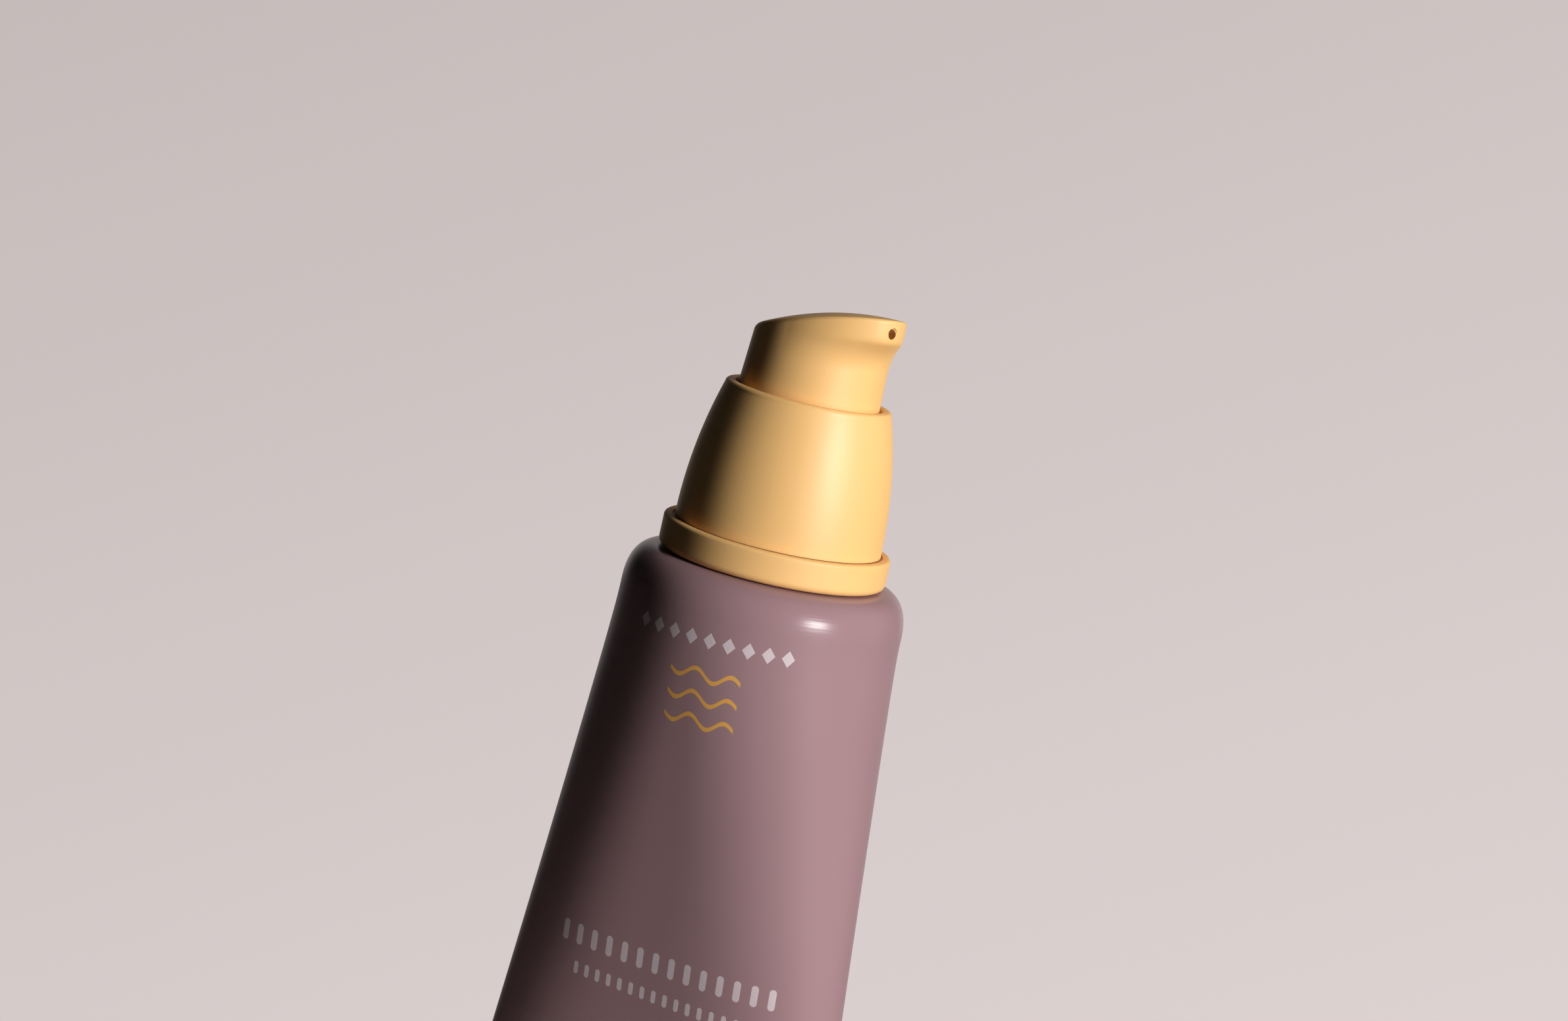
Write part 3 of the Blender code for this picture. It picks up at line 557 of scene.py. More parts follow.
def hollow_profile():
    """The well under the head: in from the skirt's foot, up the skirt, down the socket and up its bore."""
    return np.array([(SKIRT_RADIUS - SKIRT_FOOT_EDGE, SKIRT_FOOT), (HOLLOW_RADIUS, SKIRT_FOOT),
                     (HOLLOW_RADIUS, HOLLOW_TOP), (BOSS_RADIUS, HOLLOW_TOP), (BOSS_RADIUS, BOSS_FOOT),
                     (SOCKET_RADIUS, BOSS_FOOT), (SOCKET_RADIUS, HOLLOW_TOP), (RISER_RADIUS, HOLLOW_TOP),
                     (RISER_RADIUS, RISER_TOP), (0.0, RISER_TOP)])


def head_points():
    """The hollow's rows from its middle out, and then the outer rows up to the middle of the crown."""
    angle, rows = head_rows()
    rows = [*hollow_profile()[::-1], *rows]
    radius, height = [np.array([np.broadcast_to(row[i], angle.shape) for row in rows]) for i in range(2)]
    turned = angle + HEAD_SWING
    return np.stack([radius * np.cos(turned), radius * np.sin(turned), PUMP_FOOT + height], -1)


# %% [markdown]
# The orifice is drilled with a turned cutter whose mouth opens like a trumpet, which rounds the hole's edge
# as the mould's core pin does. A Boolean makes this one cut, since the hole crosses the grid's columns. It
# comes out 0.35 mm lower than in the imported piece, where the photograph has it.

# %% Push head: the orifice
ORIFICE_RADIUS = 0.7 * MM
ORIFICE_HEIGHT = 36.25 * MM
ORIFICE_EDGE = 0.12 * MM
EDGE_INSIDE = 1.2 * ORIFICE_EDGE
CUTTER_BEYOND = 1.0 * MM
CUTTER_COLUMNS = 48
DUCT_START = 32.5 * MM


def orifice_cutter():
    """A rod from the head's riser out through the spout's tip, which opens over a small arc at the face."""
    start = Vector((0.0, 0.0, PUMP_FOOT + DUCT_START))
    tip = Vector((SPOUT_TIP, 0.0, PUMP_FOOT + ORIFICE_HEIGHT))
    along = (tip - start).normalized()
    face = (tip - start).length
    arc = np.radians(np.linspace(180.0, 90.0, 8))
    depth = face - EDGE_INSIDE + ORIFICE_EDGE * (1.0 + np.cos(arc))
    radius = ORIFICE_RADIUS + ORIFICE_EDGE * (1.0 - np.sin(arc[::-1]))
    profile = np.concatenate([[(0.0, 0.0), (ORIFICE_RADIUS, 0.0)], np.stack([radius, depth], 1),
                              [(radius[-1], face + CUTTER_BEYOND), (0.0, face + CUTTER_BEYOND)]])
    angle = np.arange(CUTTER_COLUMNS) * TAU / CUTTER_COLUMNS
    side = Vector((0.0, 1.0, 0.0))
    over = along.cross(side)
    ring = np.cos(angle)[:, None] * np.array(side) + np.sin(angle)[:, None] * np.array(over)
    points = np.array(start) + profile[:, 1, None, None] * np.array(along) + profile[:, 0, None, None] * ring
    turn = np.array(Matrix.Rotation(HEAD_SWING, 3, "Z"))
    return add_surface("orifice_cutter", points @ turn.T)


def cut(piece, cutter, sharp_angle):
    """Cuts one mesh from another with a Boolean, and keeps only the result."""
    step = piece.modifiers.new("cut", "BOOLEAN")
    step.operation = "DIFFERENCE"
    step.solver = "EXACT"
    step.object = cutter
    graph = bpy.context.evaluated_depsgraph_get()
    made = bpy.data.meshes.new_from_object(piece.evaluated_get(graph))
    piece.modifiers.clear()
    piece.data = made
    bpy.data.objects.remove(cutter)
    shade(piece, sharp_angle)


def make_head():
    piece = add_surface("head_moulding", head_points())
    cut(piece, orifice_cutter(), 40.0)
    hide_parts("actuator_head")
    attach(piece, "head")
    return piece


head_moulding = make_head()
print("push head after the cut: %d faces" % len(head_moulding.data.polygons))

# %% [markdown]
# ## Return spring
# Each push makes the spring shorter. A piece that only rides on a body can't do that, and would cut into the
# stem. This coil only rides on the pump body. It is a round wire carried along a helix, which is smoother
# than a curve's bevel.

# %% Return spring
SPRING_TURNS = 6.5
SPRING_WIRE = 0.3 * MM
SPRING_STEPS = 40
WIRE_SIDES = 14
spring_low, spring_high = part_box("return_spring")


def spring_points():
    """A helix of 6.5 turns with a circle of the wire's radius round it at every step, closed at both ends."""
    radius = spring_high.x - SPRING_WIRE
    rise = spring_high.z - spring_low.z - 2.0 * SPRING_WIRE
    turn = np.linspace(0.0, SPRING_TURNS * TAU, int(SPRING_TURNS * SPRING_STEPS) + 1)[:, None]
    height = spring_low.z + SPRING_WIRE + rise * turn / turn[-1]
    outward = np.concatenate([np.cos(turn), np.sin(turn), 0.0 * turn], 1)
    climb = rise / (SPRING_TURNS * TAU)
    tangent = np.concatenate([-radius * np.sin(turn), radius * np.cos(turn), climb + 0.0 * turn], 1)
    tangent /= math.hypot(radius, climb)
    middle = radius * outward + height * np.array([0.0, 0.0, 1.0])
    side = np.cross(tangent, outward)
    around = (np.arange(WIRE_SIDES) * TAU / WIRE_SIDES)[None, :, None]
    wire = SPRING_WIRE * (np.cos(around) * outward[:, None] + np.sin(around) * side[:, None])
    ends = np.repeat(middle[[0, -1], None], WIRE_SIDES, axis=1)
    return np.concatenate([ends[:1], middle[:, None] + wire, ends[1:]])


def make_spring():
    piece = add_surface("coil_spring", spring_points())
    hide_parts("return_spring")
    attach(piece, "pump")
    joints = {joint["name"]: joint for joint in frame["record"]["behaviour"]["joints"]}
    stroke = joints["pump_stroke"]["range_m"][1]
    length = spring_high.z - spring_low.z
    1.0 - stroke / length
    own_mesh(piece)
    print("spring: %.1f mm long, %.1f mm when the head is down" % (length / MM, (length - stroke) / MM))
    return piece


coil_spring = make_spring()

# %% [markdown]
# ## Threaded neck
# The shoulder piece shows its neck when the closure is unscrewed. A thread could be a swept ridge joined by a
# Boolean, but that leaves slivers which shade badly. On a grid, the thread is only a larger radius where the
# helix passes, so the whole piece stays one clean turned surface.

# %% Neck
NECK_RADIUS = 10.3 * MM
NECK_BORE = 8.6 * MM
NECK_TOP = 7.6 * MM
NECK_EDGE = 0.4 * MM
NECK_FLOOR = 1.2 * MM
NECK_SKIRT = 1.0 * MM
THREAD_PITCH = 3.0 * MM
THREAD_DEPTH = 1.0 * MM
THREAD_ROOT = 1.4 * MM
THREAD_CREST = 0.7 * MM
THREAD_START = 1.6 * MM
THREAD_TURNS = 1.25
THREAD_RUN_OUT = 0.12


def thread_ridge(angle, height):
    """How far the thread stands out: a trapezium round the helix's height, which fades at both ends."""
    ridge = 0.0 * angle
    for turn in range(math.ceil(THREAD_TURNS)):
        turned = angle / TAU + turn
        off = np.abs(height - THREAD_START - THREAD_PITCH * turned)
        flank = np.clip((THREAD_ROOT / 2.0 - off) / ((THREAD_ROOT - THREAD_CREST) / 2.0), 0.0, 1.0)
        fade = np.clip(np.minimum(turned, THREAD_TURNS - turned) / THREAD_RUN_OUT, 0.0, 1.0)
        ridge = np.maximum(ridge, THREAD_DEPTH * flank * fade)
    return ridge


def neck_profile():
    """Round the section: up the neck, over its rim, down the bore, out under the shoulder, and back."""
    inset = SLEEVE_WALL + GAP
    land = MOUTH_RADIUS - GAP
    wall = straight((NECK_RADIUS, SHOULDER_TOP), (NECK_RADIUS, NECK_TOP - NECK_EDGE), 90)
    rim = corner(NECK_RADIUS - NECK_EDGE, NECK_TOP - NECK_EDGE, NECK_EDGE, 0.0, 90.0, 8)
    under = shoulder_curve(inset + NECK_FLOOR, 12)
    over = shoulder_curve(inset, 24)
    skirt_foot = over[0, 1] - NECK_SKIRT
    bore = [(NECK_BORE, NECK_TOP), (NECK_BORE, under[-1, 1])]
    skirt = [(under[0, 0], skirt_foot), (over[0, 0], skirt_foot)]
    step = [(land, SHOULDER_TOP - inset), (land, SHOULDER_TOP)]
    return np.concatenate([wall, rim, bore, under[::-1], skirt, over, step])


def make_neck():
    profile = neck_profile()
    angle = np.arange(TURNED_COLUMNS) * TAU / TURNED_COLUMNS
    radius, height = profile.T[:, :, None]
    thread = (radius == NECK_RADIUS) * thread_ridge(angle[None, :], height)
    piece = add_surface("neck_moulding", turn_profile(profile, TURNED_COLUMNS, thread), wrap_rows=True)
    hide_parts("tube_shoulder")
    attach(piece, "tube")
    return piece


neck_moulding = make_neck()

# %% [markdown]
# ## Shader maths
# A finish needs sums and masks, and a chain of Math nodes is hard to read. So one small class wraps an output
# socket, and Python's own operators add the nodes. Any other node comes from one method, add, which takes the
# node's type, its settings and its inputs.

# %% A wire between nodes
class Wire:
    """An output socket of a node. Arithmetic on it adds Math nodes to the same tree."""

    def __init__(self, graph, socket):
        self.graph = graph
        self.socket = socket

    def math(self, operation, *others):
        inputs = dict(enumerate((self,) + others))
        return self.graph.add("ShaderNodeMath", {"operation": operation}, inputs)

    def __add__(self, other):
        return self.math("ADD", other)

    def __mul__(self, other):
        return self.math("MULTIPLY", other)

    def __sub__(self, other):
        return self.math("SUBTRACT", other)

    def __truediv__(self, other):
        return self.math("DIVIDE", other)

    def __rsub__(self, other):
        return self.graph.add("ShaderNodeMath", {"operation": "SUBTRACT"}, {0: other, 1: self})

    __radd__ = __add__
    __rmul__ = __mul__

    def size(self):
        """The value without its sign."""
        return self.math("ABSOLUTE")

    def cell(self, pitch):
        """The place within a cell that repeats at this pitch, counted from the cell's middle."""
        return self.math("WRAP", 0.5 * pitch, -0.5 * pitch)


# %% A tree of nodes
MIX_FACTOR, MIX_A, MIX_B, MIX_RESULT = 0, 6, 7, 2


class Graph:
    """A node tree with one method that adds any node: settings first, then values or wires for its inputs."""

    def __init__(self, tree):
        self.tree = tree

    def add(self, kind, settings=None, inputs=None, output=0):
        node = self.tree.nodes.new(kind)
        for key, value in (settings or {}).items():
            setattr(node, key, value)
        self.fill(node, inputs or {})
        return Wire(self, node.outputs[output]) if node.outputs else None

    def fill(self, node, inputs):
        for key, value in inputs.items():
            if isinstance(value, Wire):
                self.tree.links.new(value.socket, node.inputs[key])
            else:
                node.inputs[key].default_value = value

    def place(self):
        """Object coordinates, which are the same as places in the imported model, in metres."""
        return self.add("ShaderNodeTexCoord", {}, {}, "Object")

    def axis(self, letter):
        """One of the three Object coordinates."""
        return self.add("ShaderNodeSeparateXYZ", {}, {"Vector": self.place()}, letter)

    def noise(self, size, detail=2.0, stretch=(1.0, 1.0, 1.0)):
        """Noise whose blobs are about this size, in metres, stretched along the axes."""
        scale = [1.0 / part for part in stretch]
        at = self.add("ShaderNodeMapping", {}, {"Vector": self.place(), "Scale": scale})
        inputs = {"Vector": at, "Scale": 1.0 / size, "Detail": detail}
        return self.add("ShaderNodeTexNoise", {}, inputs, "Fac")

    def between(self, value, low, high):
        """0 below the low value, 1 above the high one, and a smooth step between them."""
        return self.add("ShaderNodeMapRange", {"interpolation_type": "SMOOTHSTEP"},
                        {"Value": value, "From Min": low, "From Max": high})

    def mix(self, share, first, second):
        """From one colour to another. The Mix node's sockets go by number, as they share their names."""
        inputs = {MIX_FACTOR: share, MIX_A: first, MIX_B: second}
        return self.add("ShaderNodeMix", {"data_type": "RGBA"}, inputs, MIX_RESULT)


def tint(colour, factor):
    """A colour made lighter or darker by a factor, with its alpha."""
    return (*[min(1.0, channel * factor) for channel in colour], 1.0)


# %% [markdown]
# ## What handling and moulding leave behind
# No moulded piece is dead even. The melt leaves faint clouds, the eroded steel of the mould leaves a grain of
# a tenth of a millimetre or so, and use leaves hairlines and specks of dust. Each is a small function that
# gives a mask, so that any finish can take what it needs.

# %% Marks that several finishes share
PATCH_SIZE = 4.0
PATCH_EDGE = (0.58, 0.66)
SPECK_CORE = 0.6


def hairlines(graph, size, stretch, width):
    """Thin scratches: where a stretched noise passes its middle value, but only in a few patches."""
    off = (graph.noise(size, 1.0, stretch) - 0.5).size()
    line = 1.0 - graph.between(off, 0.0, width)
    return line * graph.between(graph.noise(PATCH_SIZE * size, 0.0), *PATCH_EDGE)


def specks(graph, spacing, radius, share):
    """A few small round specks: this share of the cells of a Voronoi pattern gets one each."""
    at = {"Vector": graph.place(), "Scale": 1.0 / spacing}
    distance = graph.add("ShaderNodeTexVoronoi", {}, at, "Distance")
    chosen = graph.add("ShaderNodeTexVoronoi", {}, at, "Color")
    pick = graph.add("ShaderNodeSeparateColor", {}, {"Color": chosen}, "Red")
    dot = 1.0 - graph.between(distance, SPECK_CORE * radius / spacing, radius / spacing)
    return dot * graph.between(pick, 1.0 - share, 1.001 - share)


def start_finish(name):
    """A new material, its graph and its Principled shader."""
    material = bpy.data.materials.new(name)
    material.use_nodes = True
    return material, Graph(material.node_tree), material.node_tree.nodes["Principled BSDF"]


def dress(graph, shader, base, rough, height, depth):
    """Colour, roughness, and a normal bent by a height of about 0 to 1, where 1 stands for the depth."""
    normal = graph.add("ShaderNodeBump", {}, {"Height": height, "Distance": depth, "Strength": 1.0})
    graph.fill(shader, {"Base Color": base, "Roughness": rough, "Normal": normal})


# %% [markdown]
# ## Moulded yellow plastic
# The pump's three outer pieces are a warm yellow polypropylene with a satin face, and the ring is the most
# matt. Subsurface scattering could show the light that passes through the plastic, but on pieces this small
# it gave little but coloured fringes at the edges. So the base colour alone carries the warmth.

# %% Yellow finishes
PUMP_YELLOW = (0.935, 0.550, 0.205)
DUST = (0.82, 0.79, 0.75, 1.0)


def moulded_yellow(name, roughness, grain_depth):
    """Yellow plastic: clouds of 3 percent, a grain of 0.16 mm, upright hairlines and a few specks of dust."""
    material, graph, shader = start_finish(name)
    clouds = graph.noise(9.0 * MM, 3.0)
    grain = graph.noise(0.16 * MM, 2.0)
    lines = hairlines(graph, 6.0 * MM, (0.35, 0.35, 2.5), 0.004)
    dots = specks(graph, 3.0 * MM, 0.09 * MM, 0.06)
    base = graph.mix(clouds, tint(PUMP_YELLOW, 0.97), tint(PUMP_YELLOW, 1.03))
    base = graph.mix(0.10 * lines + 0.30 * dots, base, DUST)
    rough = roughness + 0.05 * (clouds - 0.5) - 0.06 * lines
    dress(graph, shader, base, rough, grain + 0.6 * dots - 0.5 * lines, grain_depth)
    shader.inputs["Specular IOR Level"].default_value = 0.65
    return material


yellow_satin = moulded_yellow("pump_yellow_satin", 0.48, 0.0022 * MM)
yellow_matt = moulded_yellow("pump_yellow_matt", 0.56, 0.0035 * MM)
paint(head_moulding, yellow_satin)
paint(collar_moulding, yellow_satin)
paint(ring_moulding, yellow_matt)
print("yellow:", yellow_satin.name, "and", yellow_matt.name)

# %% [markdown]
# ## The print on the sleeve
# The real print isn't copied. In its place are plain ornaments of about its size and colour: off-white
# lozenges under the shoulder, three ochre waves, and two rows of off-white bars lower down. Every mask works
# in two lengths, the place along the girth and the depth below the pump's foot, so it bends with the sleeve.
# An outline is a distance formula: for a bar, it is the distance from the bar's core line.

# %% Print: sizes
PRINT_CENTRE = 2.8 * MM
INK_EDGE = 0.03 * MM
LOZENGE_DEPTH = 8.5 * MM
LOZENGE_HALF = 1.15 * MM
LOZENGE_SLIMNESS = 1.25
LOZENGE_PITCH = 2.75 * MM
LOZENGE_COUNT = 9
WAVE_TOP = 13.4 * MM
WAVE_PITCH = 3.3 * MM
WAVE_COUNT = 3
WAVE_SWING = 0.75 * MM
WAVE_LENGTH = 5.2 * MM
WAVE_LINE = 0.62 * MM
WAVE_HALF_WIDTH = 5.2 * MM
BAR_HALF_WIDTH = 0.2
BAR_ROWS = [(56.3 * MM, 3.1 * MM, 2.6 * MM, 14), (61.3 * MM, 1.9 * MM, 1.9 * MM, 16)]
print("print: %d lozenges, %d waves, %d rows of bars" % (LOZENGE_COUNT, WAVE_COUNT, len(BAR_ROWS)))


# %% Print: masks
def inside(distance, limit):
    """1 where a distance is under its limit, with the ink's soft edge."""
    return 1.0 - distance.graph.between(distance, limit - INK_EDGE, limit + INK_EDGE)


def lozenge_row(along, depth):
    """Lozenges, where 1.25 |x| + |y| is under half their height, in a row round the print's middle."""
    x = along.cell(LOZENGE_PITCH).size()
    y = (depth - LOZENGE_DEPTH).size()
    row = inside(along.size(), 0.5 * LOZENGE_COUNT * LOZENGE_PITCH)
    return inside(LOZENGE_SLIMNESS * x + y, LOZENGE_HALF) * row


def waves(along, depth):
    """Three sine lines one under the other: the depth less the sine is wrapped at the lines' pitch."""
    sine = (along * (TAU / WAVE_LENGTH)).math("SINE") * WAVE_SWING
    level = depth - WAVE_TOP - sine
    line = inside(level.cell(WAVE_PITCH).size(), 0.5 * WAVE_LINE)
    middle = 0.5 * (WAVE_COUNT - 1) * WAVE_PITCH
    field = inside((level - middle).size(), middle + 0.5 * WAVE_PITCH)
    return line * field * inside(along.size(), WAVE_HALF_WIDTH)


def bar_row(along, depth, row_depth, height, pitch, count):
    """Upright rounded bars: the distance from a bar's core line is under half its width."""
    half_width = BAR_HALF_WIDTH * pitch
    x = (along + 0.5 * (count - 1) * pitch).cell(pitch)
    y = ((depth - row_depth).size() - (0.5 * height - half_width)).math("MAXIMUM", 0.0)
    distance = (x.math("POWER", 2.0) + y.math("POWER", 2.0)).math("SQRT")
    return inside(distance, half_width) * inside(along.size(), 0.5 * count * pitch)


# %% [markdown]
# ## Soft mauve sleeve
# The sleeve is co-extruded polyethylene with a clear lacquer over its print. It shows almost no gloss on its
# walls and a small highlight on the shoulder's rounding, where fine rings remain from the moulding of the
# mouth. So the roughness falls from the walls to the rounding. The lacquer carries long hairlines and a few
# specks.

# %% Sleeve finish
MOULDED_DEPTHS = (3.0 * MM, 6.5 * MM)
SLEEVE_MAUVE = (0.344, 0.206, 0.219)
INK_WHITE = (0.66, 0.55, 0.57, 1.0)
INK_OCHRE = (0.80, 0.40, 0.09, 1.0)


def printed_sleeve():
    """Mauve film with two inks: their masks change the colour, the gloss and, by 6 microns, the height."""
    material, graph, shader = start_finish("sleeve_mauve_printed")
    girth = graph.add("ShaderNodeAttribute", {"attribute_name": "girth"}, {}, "Fac")
    along = girth - PRINT_CENTRE
    depth = PUMP_FOOT - graph.axis("Z")
    white = lozenge_row(along, depth)
    for row in BAR_ROWS:
        white = white + bar_row(along, depth, *row)
    ochre = waves(along, depth)
    clouds = graph.noise(14.0 * MM, 3.0)
    grain = graph.noise(0.12 * MM, 2.0)
    rings = graph.noise(1.0 * MM, 2.0, (9.0, 9.0, 0.16))
    moulded = 1.0 - graph.between(depth, *MOULDED_DEPTHS)
    lines = hairlines(graph, 16.0 * MM, (0.25, 0.25, 3.0), 0.0016)
    dots = specks(graph, 5.0 * MM, 0.08 * MM, 0.08)
    wear = 1.0 - 0.10 * graph.between(graph.noise(0.35 * MM, 1.0), 0.55, 0.75)
    base = graph.mix(clouds, tint(SLEEVE_MAUVE, 0.97), tint(SLEEVE_MAUVE, 1.03))
    base = graph.mix(0.12 * lines + 0.35 * dots, base, DUST)
    base = graph.mix(white * wear, base, INK_WHITE)
    base = graph.mix(ochre * wear, base, INK_OCHRE)
    rough = 0.40 - 0.16 * moulded + 0.05 * (clouds - 0.5) + 0.10 * moulded * (rings - 0.5)
    rough = rough + 0.06 * (white + ochre)
    height = 0.25 * grain + 4.0 * moulded * rings + 1.5 * (white + ochre) + dots - lines
    dress(graph, shader, base, rough, height, 0.004 * MM)
    shader.inputs["Specular IOR Level"].default_value = 0.3
    return material


sleeve_printed = printed_sleeve()
paint(soft_sleeve, sleeve_printed)
print("sleeve:", sleeve_printed.name)

# %% [markdown]
# ## The pieces inside
# The neck comes into view when the closure is unscrewed, and any piece may be shown on its own, so the inner
# ones get finishes as well. Uncoloured polypropylene looks milky, because light scatters in it, so it has a
# little subsurface. Spring wire has fine marks from its drawing, and seals are matt.
#
# Their shapes in the imported model are right, but a imported mesh is loose triangles, which look faceted. So
# each is shown by a copy whose doubled points are merged, and which can then be shaded smooth. Normals that
# are weighted by area keep the long thin triangles of a cut piece from spoiling its shading.

# %% Finishes of the imported pieces
MOULD_RINGS = (8.0, 8.0, 0.2)
MILKY = ((0.77, 0.76, 0.72, 1.0), (0.83, 0.82, 0.80, 1.0))
MILKY_GLOW = {"Subsurface Weight": 0.25, "Subsurface Scale": 1.0 * MM}
MAUVES = (tint(SLEEVE_MAUVE, 0.96), tint(SLEEVE_MAUVE, 1.04))
LOW_GLOSS = {"Specular IOR Level": 0.35}


def turned_plastic(name, cloud_size, ring_size, colours, roughness, ring_depth, plain):
    """Plastic from a turned mould: flow clouds, the rings of the turning, and a few plain settings."""
    material, graph, shader = start_finish(name)
    rings = graph.noise(ring_size, 2.0, MOULD_RINGS)
    base = graph.mix(graph.noise(cloud_size, 3.0), *colours)
    dress(graph, shader, base, roughness + 0.08 * (rings - 0.5), rings, ring_depth)
    graph.fill(shader, plain)
    return material


def seal_rubber():
    """Grey moulded rubber: matt, with a coarse grain and paler scuffs."""
    material, graph, shader = start_finish("seal_grey")
    scuffs = graph.between(graph.noise(2.5 * MM, 4.0), 0.5, 0.75)
    grain = graph.noise(0.2 * MM, 3.0)
    base = graph.mix(scuffs, (0.52, 0.52, 0.51, 1.0), (0.62, 0.62, 0.60, 1.0))
    dress(graph, shader, base, 0.65 + 0.15 * scuffs, grain, 0.006 * MM)
    return material


def drawn_steel():
    """Bright drawn steel, for the spring and the ball: metal with fine marks and a faint change of tone."""
    material, graph, shader = start_finish("bright_steel")
    marks = graph.noise(0.25 * MM, 3.0, (1.0, 1.0, 0.3))
    base = graph.mix(marks, (0.50, 0.50, 0.51, 1.0), (0.62, 0.62, 0.63, 1.0))
    dress(graph, shader, base, 0.22 + 0.14 * marks, marks, 0.002 * MM)
    shader.inputs["Metallic"].default_value = 1.0
    return material


milky = turned_plastic("natural_milky", 6.0 * MM, 0.8 * MM, MILKY, 0.40, 0.002 * MM, MILKY_GLOW)
neck_mauve = turned_plastic("neck_mauve", 7.0 * MM, 0.9 * MM, MAUVES, 0.46, 0.003 * MM, LOW_GLOSS)
finish_of_slot = {"natural_plastic": milky, "tube_plastic": neck_mauve, "seal": seal_rubber(),
                  "spring_steel": drawn_steel()}
slot_of_node = {part["node"]: part["material_slot"] for part in frame["record"]["subparts"]}
nodes_of_body = frame["record"]["behaviour"]["bodies"]
body_of_node = {name: body for body, names in nodes_of_body.items() for name in names}
paint(coil_spring, finish_of_slot["spring_steel"])
paint(neck_moulding, finish_of_slot["tube_plastic"])


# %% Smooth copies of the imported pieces
def smooth_copy(name, node):
    """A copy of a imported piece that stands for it, with merged points, smooth shading and its finish."""
    piece = new_object(name + "_smooth", node.data.copy())
    finish_mesh(piece, 35.0)
    even = piece.modifiers.new("even_normals", "WEIGHTED_NORMAL")
    even.keep_sharp = True
    paint(piece, finish_of_slot[slot_of_node[name]])
    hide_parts(name)
    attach(piece, body_of_node[name])
    print(name, "gets", piece.data.materials[0].name)


for name, node in frame["nodes"].items():
    if not node.hide_render:
        smooth_copy(name, node)

# %% [markdown]
# ## Light
# The photograph has one strong soft light far to the right, a weaker one behind on the left that edges the
# tube, and hardly any fill. Each lamp was first rendered alone, and their mixture was then fitted to patches
# of the photograph's colour. Only the key lamp shows in the gloss, which leaves one small highlight on the
# shoulder. Places are given as seen from the pump's foot: degrees to the right of the camera, and degrees up.

# %% Lamps
LAMP_DISTANCE = 0.9
LAMPS = [("key", 47.0, 15.0, 0.24, 0.20, 7.5),
         ("key_top", 47.0, 35.0, 0.24, 0.24, 1.9),
         ("low_fill", 46.0, -10.0, 0.30, 0.20, 1.3),
         ("back_left", -165.0, -15.0, 0.24, 0.24, 3.0),
         ("back_right", 165.0, -10.0, 0.24, 0.24, 1.2),
         ("top", 150.0, 55.0, 0.30, 0.30, 0.8)]


def add_lamp(name, azimuth, elevation, width, height, watts):
    """A rectangular soft light that faces the pump's foot, and that no camera sees."""
    data = bpy.data.lights.new(name, "AREA")
    data.shape = "RECTANGLE"
    data.size = width
    data.size_y = height
    data.energy = watts
    lamp = new_object(name, data)
    towards = direction(VIEW_AZIMUTH + math.radians(azimuth), math.radians(elevation))
    lamp.location = Vector((0.0, 0.0, PUMP_FOOT)) + towards * LAMP_DISTANCE
    lamp.rotation_euler = towards.to_track_quat("Z", "Y").to_euler()
    lamp.visible_camera = False
    lamp.visible_glossy = name == "key"


for lamp in LAMPS:
    add_lamp(*lamp)
print("%d lamps, %.1f W in all" % (len(LAMPS), sum(lamp[-1] for lamp in LAMPS)))

# %% [markdown]
# ## Backdrop and floor
# The backdrop is plain warm paper, with painted light that makes it a little brighter low on the right. Only
# rays from the camera see it, and those that gloss and clear parts send to its side, because paper behind the
# object can't be mirrored by its front. What lights the object is the other branch, a dim room.

# %% Backdrop
PAPER = (0.640, 0.572, 0.565)
PAPER_RIGHT = 0.19
PAPER_DOWN = 0.58
PAPER_SPREAD = 0.15
PAPER_BEHIND = (0.75, 1.0)
ROOM_COLOUR = (1.0, 0.97, 0.95, 1.0)
ROOM_LIGHT = 0.012


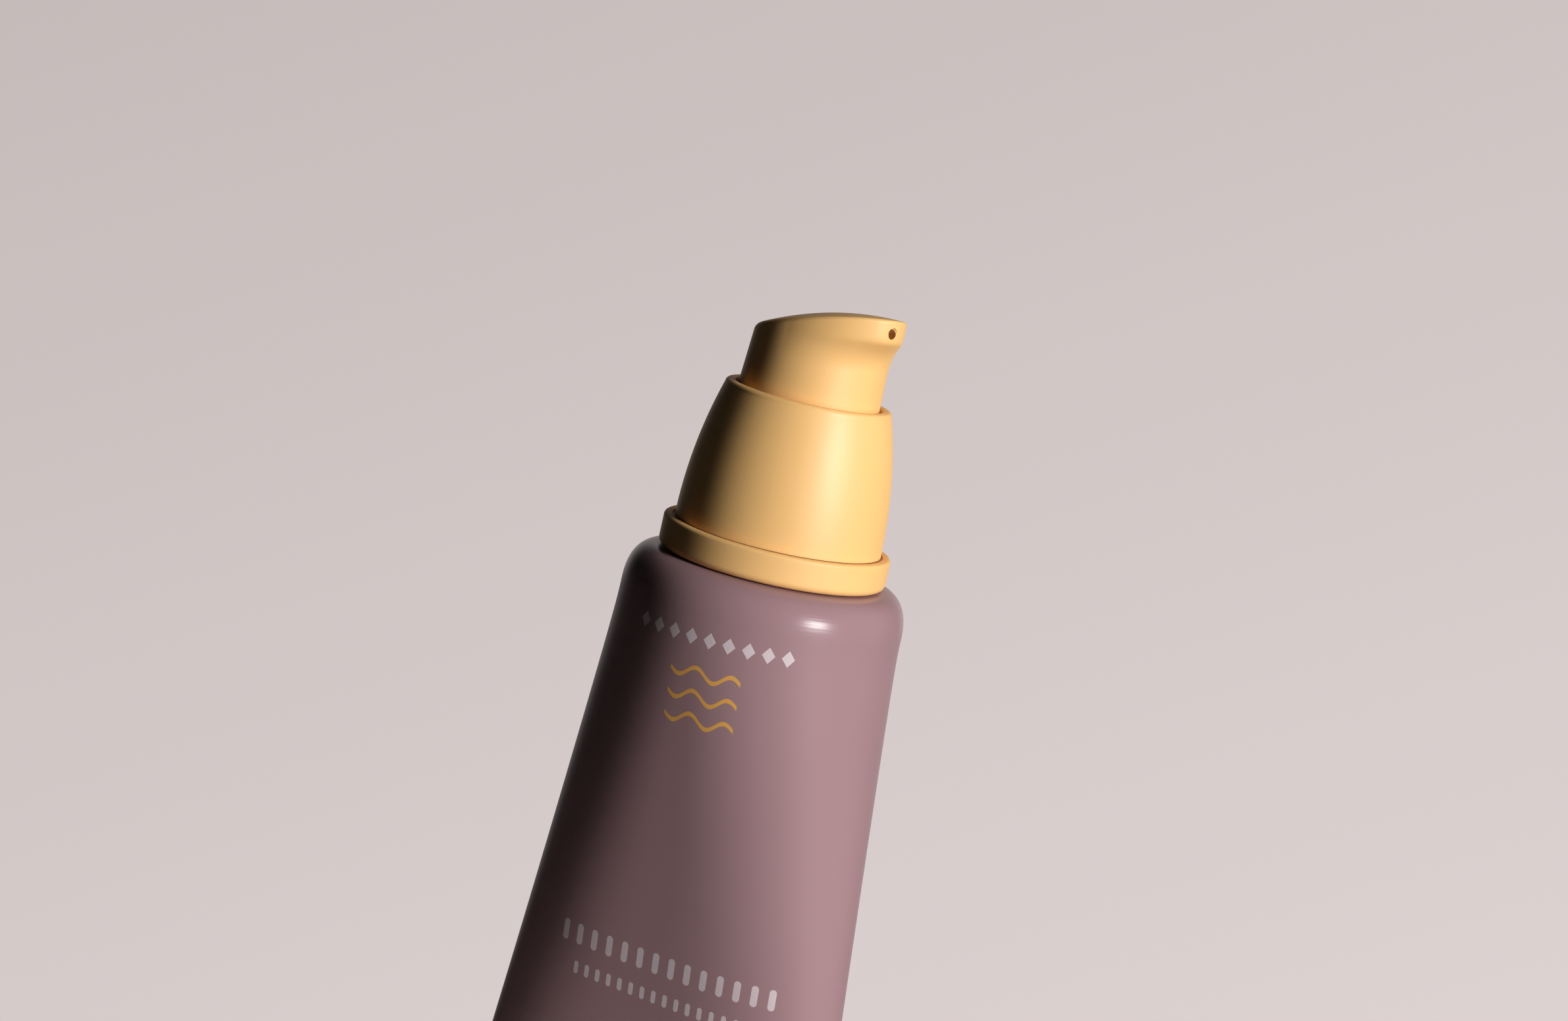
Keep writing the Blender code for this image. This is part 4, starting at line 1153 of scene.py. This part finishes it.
def make_backdrop():
    world = bpy.data.worlds.new("studio")
    bpy.context.scene.world = world
    world.use_nodes = True
    world.node_tree.nodes.clear()
    graph = Graph(world.node_tree)
    right, up, back = np.array(camera.matrix_world.to_3x3()).T
    towards = graph.add("ShaderNodeTexCoord", {}, {}, "Generated")

    def along(vector):
        return graph.add("ShaderNodeVectorMath", {"operation": "DOT_PRODUCT"},
                         {0: towards, 1: [float(part) for part in vector]}, "Value")

    # Painted light: the paper's colour is made brighter low on the right and darker up on the left.
    slope = along(PAPER_RIGHT * right - PAPER_DOWN * up)
    slope = slope.math("MAXIMUM", -PAPER_SPREAD).math("MINIMUM", PAPER_SPREAD)
    dark, bright = tint(PAPER, 1.0 - PAPER_SPREAD), tint(PAPER, 1.0 + PAPER_SPREAD)
    colour = graph.mix(0.5 + slope / (2.0 * PAPER_SPREAD), dark, bright)
    behind = graph.between(along(-back), *PAPER_BEHIND)
    rays = {name: graph.add("ShaderNodeLightPath", {}, {}, name)
            for name in ("Is Camera Ray", "Is Glossy Ray", "Is Transmission Ray")}
    mirrored = (rays["Is Glossy Ray"] + rays["Is Transmission Ray"]) * behind
    share = (rays["Is Camera Ray"] + mirrored).math("MINIMUM", 1.0)
    room = graph.add("ShaderNodeBackground", {}, {"Color": ROOM_COLOUR, "Strength": ROOM_LIGHT})
    paper = graph.add("ShaderNodeBackground", {}, {"Color": colour, "Strength": 1.0})
    seen = graph.add("ShaderNodeMixShader", {}, {0: share, 1: room, 2: paper})
    graph.add("ShaderNodeOutputWorld", {}, {"Surface": seen})


make_backdrop()
print("backdrop done")

# %% [markdown]
# The floor is a plain pale disc under the sealed end. It is a matt surface that takes the object's shadow,
# with a share of plain emission for the rays that cameras see. It fades into the backdrop before its rim, so
# that no edge shows. It is a stage and no part of the object.

# %% Floor
FLOOR_RADIUS = 170.0 * MM
FLOOR_DEPTH = 0.05 * MM
FLOOR_COLUMNS = 96
FLOOR_ROWS = 9
FLOOR_FADE = (60.0 * MM, 135.0 * MM)
FLOOR_GLOW = 0.40


def make_floor():
    """Rows are circles that shrink to the middle, all at one height, which turns a level line."""
    radius = FLOOR_RADIUS * np.linspace(1.0, 0.0, FLOOR_ROWS)
    height = np.full(FLOOR_ROWS, -PUMP_FOOT - FLOOR_DEPTH)
    floor = add_surface("studio_floor", turn_profile(np.stack([radius, height], 1), FLOOR_COLUMNS))
    paint(floor, floor_paper())


def floor_paper():
    material, graph, shader = start_finish("floor_paper")
    graph.tree.nodes.remove(shader)
    x, y = graph.axis("X"), graph.axis("Y")
    from_axis = (x * x + y * y).math("SQRT")
    fibre = graph.noise(1.2 * MM, 4.0)
    colour = graph.mix(fibre, tint(PAPER, 1.05), tint(PAPER, 1.12))
    glow = FLOOR_GLOW * graph.add("ShaderNodeLightPath", {}, {}, "Is Camera Ray")
    matt = graph.add("ShaderNodeBsdfDiffuse", {}, {"Color": colour})
    shine = graph.add("ShaderNodeEmission", {}, {"Color": colour, "Strength": glow})
    lit = graph.add("ShaderNodeAddShader", {}, {0: matt, 1: shine})
    clear = graph.add("ShaderNodeBsdfTransparent")
    cover = graph.add("ShaderNodeMixShader", {}, {0: graph.between(from_axis, *FLOOR_FADE), 1: lit, 2: clear})
    output = next(node for node in graph.tree.nodes if node.type == "OUTPUT_MATERIAL")
    graph.fill(output, {"Surface": cover})
    return material


make_floor()

# %% View settings
bpy.context.scene.view_settings.view_transform = "Standard"
